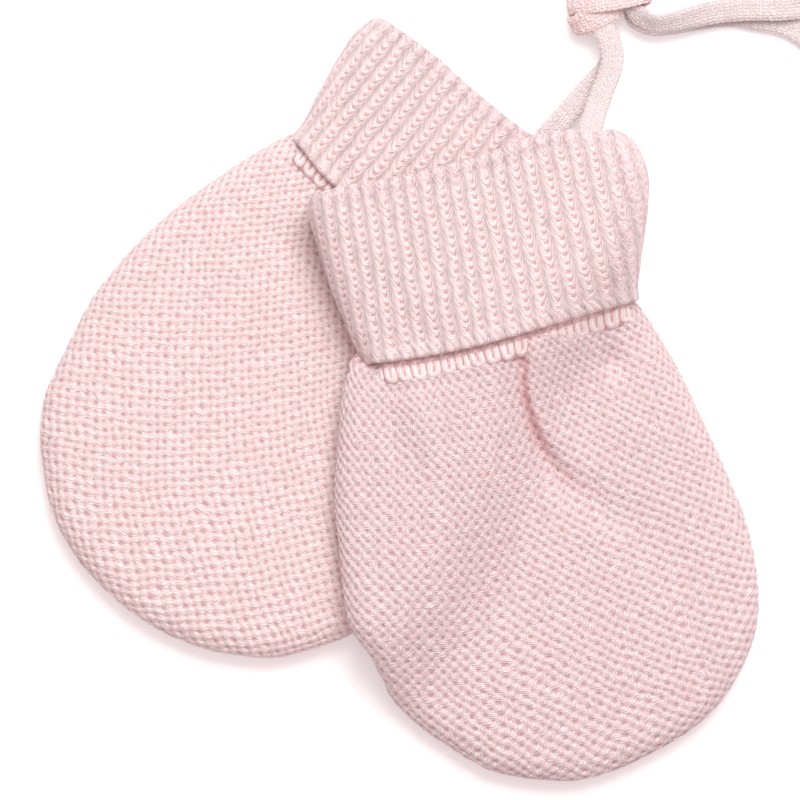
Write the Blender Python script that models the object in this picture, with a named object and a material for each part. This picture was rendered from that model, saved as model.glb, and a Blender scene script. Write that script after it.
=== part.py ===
# A pair of knitted baby mittens with turned-back cuffs and their joining cord, laid flat.
# The front mitten rests on the back one. Lengths below are in millimetres, built in metres.
import math

import bmesh
import bpy
import numpy as np

MM = 0.001

# Cloth
HAND_WALL = 2.1         # thickness of the hand's knitting
HAND_HALF = 3.75        # half of a flat hand's whole thickness
RIB_WALL = 1.6          # thickness of the cuff's ribbing
MOUTH_HALF = 1.0        # half of the slit that the hand goes in by
LAYER_GAP = 0.3         # between the cuff and its turned-back part
SEAM_GAP = 0.3          # between pieces that are sewn together
REST_GAP = 0.3          # between the front mitten and the back one
RIB_HEIGHT = 0.35       # how far a rib stands out
RIB_PITCH_LEFT = 2.5    # from rib to rib at the cuff's left edge
RIB_PITCH_RIGHT = 2.95  # and at its right edge
RIB_IN = MOUTH_HALF                   # inside of the cuff's inner layer, from the middle plane
RIB_OUT = RIB_IN + RIB_WALL           # outside of that layer
FLAP_IN = RIB_OUT + LAYER_GAP         # inside of the turned-back layer
FLAP_OUT = FLAP_IN + RIB_WALL         # outside of the turned-back layer
SETTLE_LENGTH = 11.0    # over this length the hand comes down from the cuff to its own thickness

# Cord
CORD_WIDTH = 3.7
CORD_THICK = 1.2
KNOT_CENTRE = (35.3, 67.3, 3.6)
KNOT_HALF = (7.3, 3.6, 3.3)
KNOT_TAPER = 0.25       # wider towards its left
KNOT_TURN = 28.0        # degrees

# Draping of the front mitten over the back one
DRAPE_CELL = 1.0
DRAPE_REACH = 10.0

# Meshing
SIDE_STEPS = 18         # along each side of a hand
TIP_STEPS = 34          # round its tip
UPPER_EDGE, UPPER_FLAT = 5, 8
UNDER_EDGE, UNDER_FLAT = 4, 6
INNER_EDGE, INNER_FLAT = 2, 4
UNDER_CUFF_STEPS = 18
CUFF_END_STEPS = 3

# Each mitten's own frame: the origin is the middle of the cuff's fold, "along" runs to the tip,
# "across" to the right. Rows give half-widths to the left and right of that line.
BACK = {
    "name": "back",
    "origin": (17.1, 50.2),
    "turn": 125.0,
    # along, left, right
    "hand": [
        (25.8, 26.6, 21.4), (27.2, 27.8, 21.8), (29.0, 28.8, 22.2), (31.6, 30.0, 22.6),
        (34.0, 31.0, 23.0), (37.4, 32.3, 23.6), (40.8, 33.6, 24.4), (47.6, 35.7, 26.2),
        (54.4, 37.2, 28.0), (61.2, 37.9, 29.6), (67.0, 38.1, 30.8), (74.8, 37.1, 32.0),
        (81.6, 36.0, 32.4), (85.0, 35.2, 32.0), (88.4, 33.6, 30.8), (91.8, 31.5, 28.8),
        (95.2, 28.4, 26.2), (98.6, 25.0, 23.1), (102.0, 20.4, 17.8), (105.2, 12.5, 10.2),
    ],
    "tip": (-1.0, 106.8),
    "centre": (-3.0, 66.0),
    # across, along at the seam between cuff and hand
    "seam": [(-30.0, 24.9), (-20.0, 27.1), (-10.0, 28.6), (0.0, 29.2), (10.0, 28.9),
             (20.0, 27.8), (26.0, 26.7)],
    # across, along at the fold
    "fold": [(-26.0, -0.2), (-23.0, -0.6), (-14.0, -0.4), (-7.0, 0.4), (0.0, 1.0), (6.0, 1.2),
             (12.0, 1.0), (20.0, 0.2), (26.0, 0.8)],
    # across, along at the turned-back edge
    "edge": [(-26.0, 24.9), (-23.5, 25.3), (-17.0, 27.1), (-6.0, 28.1), (6.0, 28.1), (20.0, 26.8)],
    # along, left, right
    "cuff": [(-2.0, 25.6, 23.4), (0.7, 26.4, 25.2), (4.4, 27.4, 25.8), (8.5, 27.3, 25.8),
             (13.6, 26.8, 25.0), (17.0, 26.5, 24.0), (20.4, 25.9, 23.0), (24.0, 25.8, 22.4),
             (26.6, 26.0, 22.4), (30.0, 27.6, 23.4)],
}
FRONT = {
    "name": "front",
    "origin": (13.3, 40.5),
    "turn": 77.0,
    "hand": [
        (29.3, 28.7, 20.6), (30.3, 29.6, 21.2), (31.4, 30.4, 21.7), (33.7, 31.6, 22.7),
        (37.4, 32.9, 23.9),
        (42.0, 34.3, 25.3), (50.3, 36.7, 27.2), (59.0, 37.9, 29.0), (67.5, 39.0, 30.5),
        (72.0, 38.9, 30.8), (74.6, 38.1, 30.8), (77.4, 36.9, 30.7), (81.6, 35.8, 30.2),
        (85.0, 35.1, 29.4), (88.4, 33.4, 28.1), (91.8, 31.0, 26.1), (95.2, 27.9, 23.3),
        (98.6, 24.5, 19.8), (102.0, 20.2, 14.2), (105.2, 12.2, 4.0),
    ],
    "tip": (-5.2, 106.4),
    "centre": (-4.2, 66.0),
    "seam": [(-31.0, 27.9), (-29.0, 29.3), (-26.5, 30.7), (-22.7, 31.7), (-17.6, 32.3),
             (-12.4, 32.5), (-7.0, 32.5), (0.0, 32.2), (7.0, 31.8), (15.0, 31.1), (20.0, 30.4),
             (24.0, 29.3)],
    "fold": [(-27.6, 1.2), (-25.5, -0.9), (-20.4, -0.7), (-13.4, -0.5), (0.5, -0.7),
             (7.7, -1.7), (12.1, -1.9), (17.5, -1.7), (20.5, -1.3), (23.0, -0.1)],
    "edge": [(-25.9, 29.1), (-17.9, 29.9), (-8.2, 30.3), (1.7, 29.9), (12.6, 29.2), (20.7, 28.9)],
    "cuff": [(-2.0, 29.0, 24.4), (0.5, 29.8, 24.9), (2.2, 30.2, 26.2), (4.4, 30.1, 27.1),
             (8.6, 29.8, 27.5), (13.6, 29.5, 26.4), (17.0, 29.1, 25.2), (20.4, 28.5, 23.9),
             (23.8, 28.0, 22.7), (27.2, 27.2, 21.5), (28.8, 26.6, 21.3), (31.0, 26.9, 21.5)],
}

# The pleat in the front hand: its line from the cuff, how far cloth stands up on its right,
# how far it sinks on its left, and how sharp the step is.
# across, along, rise, sink, sharpness
PLEAT = [
    (1.0, 31.5, 0.75, 0.50, 0.55), (-0.1, 36.0, 0.95, 0.65, 0.50), (-0.1, 40.5, 1.00, 0.70, 0.50),
    (0.6, 44.5, 0.95, 0.70, 0.60), (2.2, 47.8, 0.80, 0.60, 0.90), (4.4, 50.8, 0.60, 0.55, 1.60),
    (7.2, 54.2, 0.30, 0.50, 2.60), (11.5, 60.5, 0.12, 0.35, 3.60), (16.5, 68.5, 0.0, 0.15, 4.5),
]
PLEAT_BULGE = 5.5       # how far from the line the raised cloth runs out
PLEAT_DIP = 3.6

# Broad soft waves of the cloth: across, along, half width, half length, height
FRONT_WAVES = [
    (-12.6, 45.0, 2.6, 9.0, 0.42), (-17.2, 43.0, 1.9, 6.5, -0.28), (-5.6, 43.5, 2.1, 7.0, -0.25),
    (13.0, 38.0, 3.2, 3.6, 0.35), (17.6, 38.5, 2.0, 4.5, -0.35), (8.0, 40.0, 3.4, 5.0, 0.25),
]
BACK_WAVES = [
    (-18.0, 40.0, 9.0, 3.0, -0.40), (-27.5, 52.0, 2.8, 12.0, -0.35), (-4.0, 52.0, 7.0, 6.0, 0.25),
]

# The cord's route from inside the back cuff, and from inside the front one, to the knot,
# and the loop that leaves the knot: x, y, z, roll of the flat cord in degrees
CORD_FROM_BACK = [
    (19.0, 38.0, 4.5, 0.0), (21.8, 41.3, 4.5, 0.0), (24.4, 44.2, 4.5, 4.0), (26.6, 46.6, 4.3, 8.0),
    (29.5, 49.9, 3.6, 12.0), (32.4, 53.3, 2.8, 20.0), (35.1, 56.2, 2.4, 26.0),
    (36.1, 58.6, 2.3, 14.0), (35.7, 61.0, 2.5, 0.0), (34.7, 63.2, 2.8, 0.0), (33.4, 65.4, 3.0, 0.0),
]
CORD_FROM_FRONT = [
    (31.2, 34.0, 14.15, 0.0), (31.5, 37.4, 14.15, 0.0), (31.8, 40.6, 14.1, 2.0),
    (31.9, 43.0, 13.85, 7.0), (32.0, 44.8, 13.3, 13.0), (32.3, 46.4, 12.3, 18.0),
    (33.1, 48.9, 10.4, 22.0), (34.3, 52.2, 8.5, 24.0), (35.7, 55.9, 7.2, 24.0),
    (36.1, 58.7, 6.0, 12.0), (35.6, 61.0, 5.3, 0.0), (34.6, 63.2, 4.9, 0.0), (33.4, 65.4, 4.6, 0.0),
]
CORD_LOOP = [
    (38.4, 68.6, 4.6, -10.0), (39.6, 66.6, 4.6, -20.0), (41.4, 64.8, 4.5, -40.0),
    (43.6, 64.0, 4.4, -42.0), (46.8, 64.4, 4.1, -34.0), (50.2, 65.3, 3.6, -20.0),
    (54.5, 66.2, 3.1, -6.0), (59.6, 66.6, 2.8, 0.0), (64.7, 66.6, 2.6, 0.0),
    (69.6, 67.2, 2.1, 0.0), (75.4, 68.6, 1.3, 0.0), (81.4, 68.4, 0.9, 0.0),
    (86.4, 65.8, 0.9, 0.0), (88.8, 61.0, 0.9, 0.0), (87.4, 55.8, 0.9, 0.0),
    (82.8, 52.6, 0.9, 0.0), (77.4, 53.8, 0.9, 0.0), (72.6, 58.9, 0.9, 0.0),
    (68.2, 62.6, 0.9, 0.0),
    (64.7, 64.2, 0.9, 0.0), (61.0, 64.9, 0.9, 0.0), (57.0, 65.6, 0.9, 0.0),
    (53.4, 65.4, 1.1, -6.0), (50.2, 64.8, 1.5, -20.0), (46.8, 64.1, 1.9, -32.0),
    (43.4, 63.7, 2.1, -38.0), (41.0, 64.6, 2.2, -30.0), (39.3, 66.4, 2.4, -10.0),
    (38.2, 68.4, 2.6, 0.0),
]
CORD_STEP = 2.6
CORD_SIDES = 10


# Curves
def smooth_line(points, per_span=12):
    """A smooth curve through the points, closely sampled."""
    p = np.asarray(points, float)
    ends = np.vstack([2 * p[0] - p[1], p, 2 * p[-1] - p[-2]])
    t = np.linspace(0.0, 1.0, per_span, endpoint=False)[:, None]
    rows = []
    for a, b, c, d in zip(ends[:-3], ends[1:-2], ends[2:-1], ends[3:]):
        rows.append(0.5 * (2 * b + (c - a) * t + (2 * a - 5 * b + 4 * c - d) * t ** 2
                           + (3 * b - a - 3 * c + d) * t ** 3))
    rows.append(p[-1:])
    return np.vstack(rows)


def resample(line, count, columns=2):
    """The same line with evenly spaced points."""
    step = np.linalg.norm(np.diff(line[:, :columns], axis=0), axis=1)
    run = np.concatenate([[0.0], np.cumsum(step)])
    at = np.linspace(0.0, run[-1], count + 1)
    return np.stack([np.interp(at, run, line[:, c]) for c in range(line.shape[1])], axis=1)


def look_up(table, at, column=1):
    """Smoothly read one column of a table at the given places."""
    line = smooth_line(table, 10)
    order = np.argsort(line[:, 0])
    return np.interp(at, line[order, 0], line[order, column])


# From a mitten's own frame to the surface it lies on
def to_world(mitten, across, along):
    angle = math.radians(mitten["turn"])
    x = mitten["origin"][0] + across * math.sin(angle) + along * math.cos(angle)
    y = mitten["origin"][1] + across * math.cos(angle) - along * math.sin(angle)
    return x, y


class Ground:
    """Height of what a mitten lies on: the flat surface, or the mitten below."""

    def __init__(self, points=None):
        self.low = np.array([-75.0, -80.0])
        self.shape = (160, 170)
        self.height = np.zeros(self.shape)
        if points is None:
            return
        raw = np.zeros(self.shape)
        cell = np.round((points[:, :2] - self.low) / DRAPE_CELL).astype(int)
        np.maximum.at(raw, (cell[:, 0], cell[:, 1]), points[:, 2] + REST_GAP)
        reach = int(math.ceil(DRAPE_REACH / DRAPE_CELL))
        near = [(i, j) for i in range(-reach, reach + 1) for j in range(-reach, reach + 1)
                if i * i + j * j <= reach * reach]
        lifted = np.max([np.roll(raw, n, (0, 1)) for n in near], axis=0)
        weight = [1.0 + math.cos(math.pi * math.hypot(*n) / (reach + 1)) for n in near]
        total = sum(w * np.roll(lifted, n, (0, 1)) for w, n in zip(weight, near))
        self.height = total / sum(weight)

    def at(self, x, y):
        gx = np.clip((x - self.low[0]) / DRAPE_CELL, 0, self.shape[0] - 1.001)
        gy = np.clip((y - self.low[1]) / DRAPE_CELL, 0, self.shape[1] - 1.001)
        i, j = gx.astype(int), gy.astype(int)
        a, b = gx - i, gy - j
        h = self.height
        return ((h[i, j] * (1 - a) + h[i + 1, j] * a) * (1 - b)
                + (h[i, j + 1] * (1 - a) + h[i + 1, j + 1] * a) * b)


# Folds and waves
def pleat_height(across, along, softness=0.0):
    """Step of the pleat: raised on its right, sunk on its left."""
    line = smooth_line(PLEAT, 8)
    gap = (across[..., None] - line[:, 0]) ** 2 + (along[..., None] - line[:, 1]) ** 2
    best = np.argmin(gap, axis=-1)
    near = line[best]
    run = np.gradient(line[:, :2], axis=0)
    run /= np.linalg.norm(run, axis=1)[:, None]
    tangent = run[best]
    side = ((across - near[..., 0]) * tangent[..., 1] - (along - near[..., 1]) * tangent[..., 0])
    distance = np.sqrt(np.min(gap, axis=-1))
    side = np.where(side >= 0, 1.0, -1.0) * distance
    rise, sink, sharp = near[..., 2], near[..., 3], near[..., 4] + softness
    step = 0.5 * (1.0 + np.tanh(side / sharp))
    return (rise * step * np.exp(-(distance / PLEAT_BULGE) ** 2)
            - sink * (1.0 - step) * np.exp(-(distance / PLEAT_DIP) ** 2)
            - 0.5 * sink * step * np.exp(-(distance / sharp) ** 2))


def relief(mitten, across, along, softness=0.0):
    """Height of the upper panel's folds and waves."""
    front = mitten["name"] == "front"
    total = np.zeros_like(across)
    for at, to, half_width, half_length, height in (FRONT_WAVES if front else BACK_WAVES):
        total += height * np.exp(-((across - at) / half_width) ** 2
                                 - ((along - to) / half_length) ** 2)
    if front:
        total += pleat_height(across, along, softness)
    return total


# Hands
def seam_along(mitten, across):
    return look_up(mitten["seam"], across)


def hand_outline(mitten, side_steps, tip_steps):
    """Points round the hand from its left start over the tip to its right start."""
    rows = mitten["hand"]
    left = [(-r[1], r[0]) for r in rows]
    right = [(r[2], r[0]) for r in reversed(rows)]
    line = smooth_line(left + [mitten["tip"]] + right, 16)
    turn = int(np.argmax(line[:, 1]))
    centre = mitten["centre"][1]
    down, up = line[:turn + 1], line[turn:][::-1]
    share = np.linspace(0.0, 1.0, side_steps + 1)
    left_at = down[0, 1] + share * (centre - down[0, 1])
    right_at = up[0, 1] + share * (centre - up[0, 1])
    left_side = np.stack([np.interp(left_at, down[:, 1], down[:, 0]), left_at], axis=1)
    right_side = np.stack([np.interp(right_at, up[:, 1], up[:, 0]), right_at], axis=1)
    below = line[line[:, 1] > centre]
    tip = resample(np.vstack([left_side[-1:], below, right_side[-1:]]), tip_steps)
    return np.vstack([left_side, tip[1:-1], right_side[::-1]])


def inward_normals(outline, blend):
    run = np.gradient(outline, axis=0)
    normal = np.stack([run[:, 1], -run[:, 0]], axis=1)
    normal /= np.linalg.norm(normal, axis=1)[:, None]
    step = np.linalg.norm(np.diff(outline, axis=0), axis=1)
    run = np.concatenate([[0.0], np.cumsum(step)])
    for ends, square in ((run, 1.0), (run[-1] - run, -1.0)):
        weight = np.clip(1.0 - ends / blend, 0.0, 1.0)[:, None]
        normal = normal * (1.0 - weight) + np.array([square, 0.0]) * weight
    return normal / np.linalg.norm(normal, axis=1)[:, None]


def hand_middle(along):
    """Half thickness of the hand, and height of its middle plane, along the hand."""
    share = np.clip((along - 29.0) / SETTLE_LENGTH, 0.0, 1.0)
    share = share * share * (3.0 - 2.0 * share)
    half = RIB_OUT + (HAND_HALF - RIB_OUT) * share
    middle = FLAP_OUT + (HAND_HALF - FLAP_OUT) * share
    return half, middle


def hand_surface(mitten, ground, upper, inner, side_steps, tip_steps, edge_steps, flat_steps):
    """Points of one face of a hand panel, from its outline to its spine."""
    outline = hand_outline(mitten, side_steps, tip_steps)
    normal = inward_normals(outline, 8.0)
    count = len(outline) - 1
    start = (outline[0] + outline[-1]) / 2.0
    spine = np.empty_like(outline)
    for i in range(count + 1):
        k = min(i, count - i)
        share = min(k / side_steps, 1.0)
        spine[i] = start + share * (np.array(mitten["centre"]) - start)
    half, _ = hand_middle(outline[:, 1])
    wall = HAND_WALL if inner else 0.0
    radius = np.maximum(half - wall, 0.5)
    angles = np.linspace(0.0, math.pi / 2, edge_steps + 1)
    rings, lift = [], []
    for angle in angles:
        rings.append(outline + normal * (wall + radius * (1.0 - math.cos(angle)))[:, None])
        lift.append(np.full(count + 1, math.sin(angle)))
    last = rings[-1]
    for k in range(1, flat_steps + 1):
        rings.append(last + (spine - last) * (k / flat_steps))
        lift.append(np.ones(count + 1))
    flat = np.stack(rings, axis=1)
    lift = np.stack(lift, axis=1)
    across, along = flat[..., 0], flat[..., 1]
    # the panel starts along the seam's own curve, a gap below the ribbing
    start_line = seam_along(mitten, across) + SEAM_GAP / 2
    index = np.minimum(np.arange(count + 1), count - np.arange(count + 1))
    pull = np.clip(1.0 - index / side_steps * 2.0, 0.0, 1.0)[:, None] ** 2
    along = along + (start_line - along[0][None, :]) * pull * (index[:, None] <= side_steps)
    half, middle = hand_middle(along)
    x, y = to_world(mitten, across, along)
    reach = SEAM_GAP / 2 + (half - wall - SEAM_GAP / 2) * lift
    waves = relief(mitten, across, along, 1.2 if inner else 0.0) * (0.5 if inner else 1.0)
    fade = np.clip((lift - 0.2) / 0.8, 0.0, 1.0) ** 2
    z = ground.at(x, y) + middle + (reach + waves * fade if upper else -reach)
    return np.stack([x, y, z], axis=-1), np.stack([across, along], axis=-1)


# Cuffs
def rib_places(mitten):
    """Places across the cuff, two to a rib, from -1 at its left to 1 at its right."""
    width = 2.0 * 23.0
    places, at = [], 0.0
    while at < 1.0:
        places.append(at)
        at += (RIB_PITCH_LEFT + (RIB_PITCH_RIGHT - RIB_PITCH_LEFT) * at) / 2.0 / width
    places = np.array(places)
    return -1.0 + 2.0 * places / places[-1]


def cuff_ring(mitten):
    """Round the flat cuff: share across, direction from its middle plane, and rib height."""
    rows = []
    places = rib_places(mitten)
    for k, place in enumerate(places):
        rows.append((place, 0.0, 1.0, 1.0 if k % 2 else 0.0))
    for side in (1.0, -1.0):
        turns = 2 * CUFF_END_STEPS
        for k in range(1, turns):
            angle = math.pi * k / turns
            if side < 0:
                angle = math.pi - angle
            ribbed = 1.0 if (angle < math.pi / 2 and k % 2) else 0.0
            rows.append((side, side * math.sin(angle), math.cos(angle), ribbed))
        if side > 0:
            for place in np.linspace(1.0, -1.0, UNDER_CUFF_STEPS + 1):
                rows.append((place, 0.0, -1.0, 0.0))
    return np.array(rows)


def cuff_profile():
    """Closed section of the turned-back cuff: layer, share of its length, reach, rib share."""
    layers = (0.0, 0.25, 0.5, 0.75, 1.0)
    mid, big, small = (RIB_IN + FLAP_OUT) / 2, (FLAP_OUT - RIB_IN) / 2, (FLAP_IN - RIB_OUT) / 2
    rows = [("flap", t, FLAP_OUT, 0.0, 1.0 if t < 1.0 else 0.5) for t in reversed(layers)]
    rows += [("flap", 0.0, mid + big * math.cos(a), -big * math.sin(a), 0.3)
             for a in (math.pi / 4, math.pi / 2, 3 * math.pi / 4)]
    rows += [("body", t, RIB_IN, 0.0, 0.0) for t in layers]
    rows += [("body", t, RIB_OUT, 0.0, 0.0) for t in reversed(layers)]
    rows += [("flap", 0.0, mid, -small, 0.0)]
    rows += [("flap", t, FLAP_IN, 0.0, 0.0) for t in layers]
    rows += [("flap", 1.0, (FLAP_IN + FLAP_OUT) / 2, 0.5, 0.0)]
    return rows


def cuff_points(mitten, ground):
    ring = cuff_ring(mitten)
    share, out_across, out_up, ribbed = ring.T
    big = (FLAP_OUT - RIB_IN) / 2
    wide = [look_up(mitten["cuff"], 6.0, side) - FLAP_OUT for side in (1, 2)]
    core = share * np.where(share < 0, wide[0], wide[1])
    fold = look_up(mitten["fold"], core) + big
    rows = []
    for layer, t, reach, extra, rib in cuff_profile():
        out = reach + RIB_HEIGHT * rib * ribbed
        across = core
        for _ in range(4):
            if layer == "flap":
                end = look_up(mitten["edge"], across)
            else:
                end = seam_along(mitten, across) - SEAM_GAP / 2
            along = fold + (end - fold) * t + extra
            left = look_up(mitten["cuff"], along, 1) - FLAP_OUT
            right = look_up(mitten["cuff"], along, 2) - FLAP_OUT
            across = share * np.where(share < 0, left, right) + out * out_across
        x, y = to_world(mitten, across, along)
        z = ground.at(x, y) + FLAP_OUT + out * out_up
        rows.append(np.stack([x, y, z], axis=-1))
    return np.stack(rows, axis=1)


# Meshes
def new_object(name, points, faces, material):
    mesh = bpy.data.meshes.new(name)
    mesh.from_pydata([tuple(p) for p in np.asarray(points) * MM], [], faces)
    obj = bpy.data.objects.new(name, mesh)
    bpy.context.scene.collection.objects.link(obj)
    mesh.materials.append(material)
    work = bmesh.new()
    work.from_mesh(mesh)
    bmesh.ops.recalc_face_normals(work, faces=work.faces)
    work.to_mesh(mesh)
    work.free()
    for face in mesh.polygons:
        face.use_smooth = True
    return obj


def panel_net(first, count, side_steps, rings):
    """Vertex numbers and faces of a net from a hand's outline to its spine."""
    number = np.arange(first, first + (count + 1) * (rings - 1)).reshape(count + 1, rings - 1)
    spine_first = first + (count + 1) * (rings - 1)
    spine = [spine_first + min(min(i, count - i), side_steps) for i in range(count + 1)]
    table = [list(number[i]) + [spine[i]] for i in range(count + 1)]
    faces = []
    for i in range(count):
        for k in range(rings - 1):
            quad = [table[i][k], table[i][k + 1], table[i + 1][k + 1], table[i + 1][k]]
            faces.append(tuple(dict.fromkeys(int(n) for n in quad)))
    return table, faces


def net_points(points, side_steps):
    body = points[:, :-1].reshape(-1, 3)
    return np.vstack([body, points[:side_steps + 1, -1]])


def bridge(one, two):
    """Triangles between two rows of vertices that start and end side by side."""
    faces, i, j = [], 0, 0
    while i < len(one) - 1 or j < len(two) - 1:
        ahead = (i + 1) / max(len(one) - 1, 1) <= (j + 1) / max(len(two) - 1, 1)
        if j == len(two) - 1 or (ahead and i < len(one) - 1):
            faces.append((one[i], one[i + 1], two[j]))
            i += 1
        else:
            faces.append((one[i], two[j + 1], two[j]))
            j += 1
    return faces


def hand_panel(mitten, ground, upper, material):
    edge, flat = (UPPER_EDGE, UPPER_FLAT) if upper else (UNDER_EDGE, UNDER_FLAT)
    outer, _ = hand_surface(mitten, ground, upper, False, SIDE_STEPS, TIP_STEPS, edge, flat)
    inner, _ = hand_surface(mitten, ground, upper, True, SIDE_STEPS, TIP_STEPS,
                            INNER_EDGE, INNER_FLAT)
    count = len(outer) - 1
    points = net_points(outer, SIDE_STEPS)
    out_table, faces = panel_net(0, count, SIDE_STEPS, outer.shape[1])
    in_table, more = panel_net(len(points), count, SIDE_STEPS, inner.shape[1])
    points = np.vstack([points, net_points(inner, SIDE_STEPS)])
    faces += more
    for i in range(count):
        faces.append((int(out_table[i][0]), int(out_table[i + 1][0]),
                      int(in_table[i + 1][0]), int(in_table[i][0])))
    out_start = [int(n) for n in out_table[0] + out_table[count][-2::-1]]
    in_start = [int(n) for n in in_table[0] + in_table[count][-2::-1]]
    faces += bridge(out_start, in_start)
    side = "top" if upper else "under"
    return new_object(mitten["name"] + "_hand_" + side, points, faces, material)


def cuff(mitten, ground, material):
    points = cuff_points(mitten, ground)
    around, section = points.shape[:2]
    faces = []
    for i in range(around):
        for k in range(section):
            a, b = (i + 1) % around, (k + 1) % section
            faces.append((i * section + k, a * section + k, a * section + b, i * section + b))
    return new_object(mitten["name"] + "_cuff", points.reshape(-1, 3), faces, material)


# Cord
def in_knot(point, grow=0.0):
    angle = math.radians(KNOT_TURN)
    d = np.asarray(point[:3]) - np.array(KNOT_CENTRE)
    a = d[0] * math.cos(angle) + d[1] * math.sin(angle)
    b = -d[0] * math.sin(angle) + d[1] * math.cos(angle)
    half = KNOT_HALF[1] * (1.0 - KNOT_TAPER * np.clip(a / KNOT_HALF[0], -1.0, 1.0))
    halves = (KNOT_HALF[0], half, KNOT_HALF[2])
    return sum((v / (h + grow)) ** 2 for v, h in zip((a, b, d[2]), halves)) < 1.0


def cord_piece(name, route, material):
    """A flat cord along its route, with plain rounded section, ending clear of the knot."""
    line = smooth_line(route, 24)
    line = np.array([p for p in line if not in_knot(p, 0.9)])
    length = np.linalg.norm(np.diff(line[:, :3], axis=0), axis=1).sum()
    line = resample(line, max(4, int(round(length / CORD_STEP))), 3)
    run = np.gradient(line[:, :3], axis=0)
    run /= np.linalg.norm(run, axis=1)[:, None]
    level = np.cross(np.array([0.0, 0.0, 1.0]), run)
    level /= np.linalg.norm(level, axis=1)[:, None]
    up = np.cross(run, level)
    roll = np.radians(line[:, 3])[:, None]
    wide = level * np.cos(roll) + up * np.sin(roll)
    thick = up * np.cos(roll) - level * np.sin(roll)
    angles = np.arange(CORD_SIDES) * 2 * math.pi / CORD_SIDES
    flat = np.sign(np.cos(angles)) * np.abs(np.cos(angles)) ** 0.8 * CORD_WIDTH / 2
    tall = np.sign(np.sin(angles)) * np.abs(np.sin(angles)) ** 0.7 * CORD_THICK / 2
    rings = (line[:, None, :3] + wide[:, None] * flat[None, :, None]
             + thick[:, None] * tall[None, :, None])
    count = len(line)
    faces = [tuple(range(CORD_SIDES)), tuple(range((count - 1) * CORD_SIDES, count * CORD_SIDES))]
    for i in range(count - 1):
        for k in range(CORD_SIDES):
            b = (k + 1) % CORD_SIDES
            faces.append((i * CORD_SIDES + k, (i + 1) * CORD_SIDES + k,
                          (i + 1) * CORD_SIDES + b, i * CORD_SIDES + b))
    return new_object(name, rings.reshape(-1, 3), faces, material)


def knot_piece(material):
    """The overhand knot's outer shape, with a shallow groove round each wrap."""
    around, steps = 24, 16
    angle = math.radians(KNOT_TURN)
    points = []
    for j in range(1, steps):
        polar = math.pi * j / steps
        along = -math.cos(polar)
        for k in range(around):
            turn = 2 * math.pi * k / around
            wrap = 1.0 + 0.05 * math.cos(3.2 * math.pi * along + 1.2 * math.sin(turn))
            ring = math.sin(polar) ** 0.8 * wrap
            a = KNOT_HALF[0] * along
            b = KNOT_HALF[1] * (1.0 - KNOT_TAPER * along) * ring * math.cos(turn) * 0.95
            c = KNOT_HALF[2] * ring * math.sin(turn) * 0.95
            points.append((KNOT_CENTRE[0] + a * math.cos(angle) - b * math.sin(angle),
                           KNOT_CENTRE[1] + a * math.sin(angle) + b * math.cos(angle),
                           KNOT_CENTRE[2] + c))
    ends = []
    for a in (-KNOT_HALF[0], KNOT_HALF[0]):
        ends.append(len(points))
        points.append((KNOT_CENTRE[0] + a * math.cos(angle),
                       KNOT_CENTRE[1] + a * math.sin(angle), KNOT_CENTRE[2]))
    faces = []
    for j in range(steps - 2):
        for k in range(around):
            b = (k + 1) % around
            faces.append((j * around + k, j * around + b, (j + 1) * around + b, (j + 1) * around + k))
    for k in range(around):
        b = (k + 1) % around
        faces.append((ends[0], b, k))
        faces.append((ends[1], (steps - 2) * around + k, (steps - 2) * around + b))
    return new_object("cord_knot", points, faces, material)


def yarn_material(name, colour, roughness):
    material = bpy.data.materials.new(name)
    material.use_nodes = True
    shader = material.node_tree.nodes["Principled BSDF"]
    shader.inputs["Base Color"].default_value = (*colour, 1.0)
    shader.inputs["Roughness"].default_value = roughness
    return material


def back_top_points(mitten):
    """Close points over the top of the back mitten, for the front one to lie on."""
    flat = Ground()
    top, _ = hand_surface(mitten, flat, True, False, 60, 160, 8, 50)
    ring = cuff_points(mitten, flat)
    around = np.linspace(0.0, 1.0, 9)[:, None, None]
    upper = ring[:, :6]
    loop = np.concatenate([upper, upper[:1]])
    dense = [loop[i] * (1 - around) + loop[i + 1] * around for i in range(len(upper))]
    dense = np.concatenate(dense)
    rows = np.linspace(0.0, 1.0, 13)[:, None]
    between = [dense[:, k] * (1 - r) + dense[:, k + 1] * r for k in range(5) for r in rows]
    return np.vstack([top.reshape(-1, 3), np.concatenate(between)])


def main():
    for obj in list(bpy.data.objects):
        bpy.data.objects.remove(obj, do_unlink=True)
    hand_yarn = yarn_material("knit_hand", (0.88, 0.70, 0.70), 0.75)
    under_yarn = yarn_material("knit_hand_under", (0.86, 0.68, 0.68), 0.78)
    rib_yarn = yarn_material("knit_rib", (0.90, 0.72, 0.72), 0.72)
    cord_yarn = yarn_material("knit_cord", (0.89, 0.74, 0.75), 0.65)
    flat = Ground()
    draped = Ground(back_top_points(BACK))
    for mitten, ground in ((BACK, flat), (FRONT, draped)):
        hand_panel(mitten, ground, True, hand_yarn)
        hand_panel(mitten, ground, False, under_yarn)
        cuff(mitten, ground, rib_yarn)
    cord_piece("cord_from_back", CORD_FROM_BACK, cord_yarn)
    cord_piece("cord_from_front", CORD_FROM_FRONT, cord_yarn)
    cord_piece("cord_loop", CORD_LOOP, cord_yarn)
    knot_piece(cord_yarn)


main()
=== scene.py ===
import math

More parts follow.
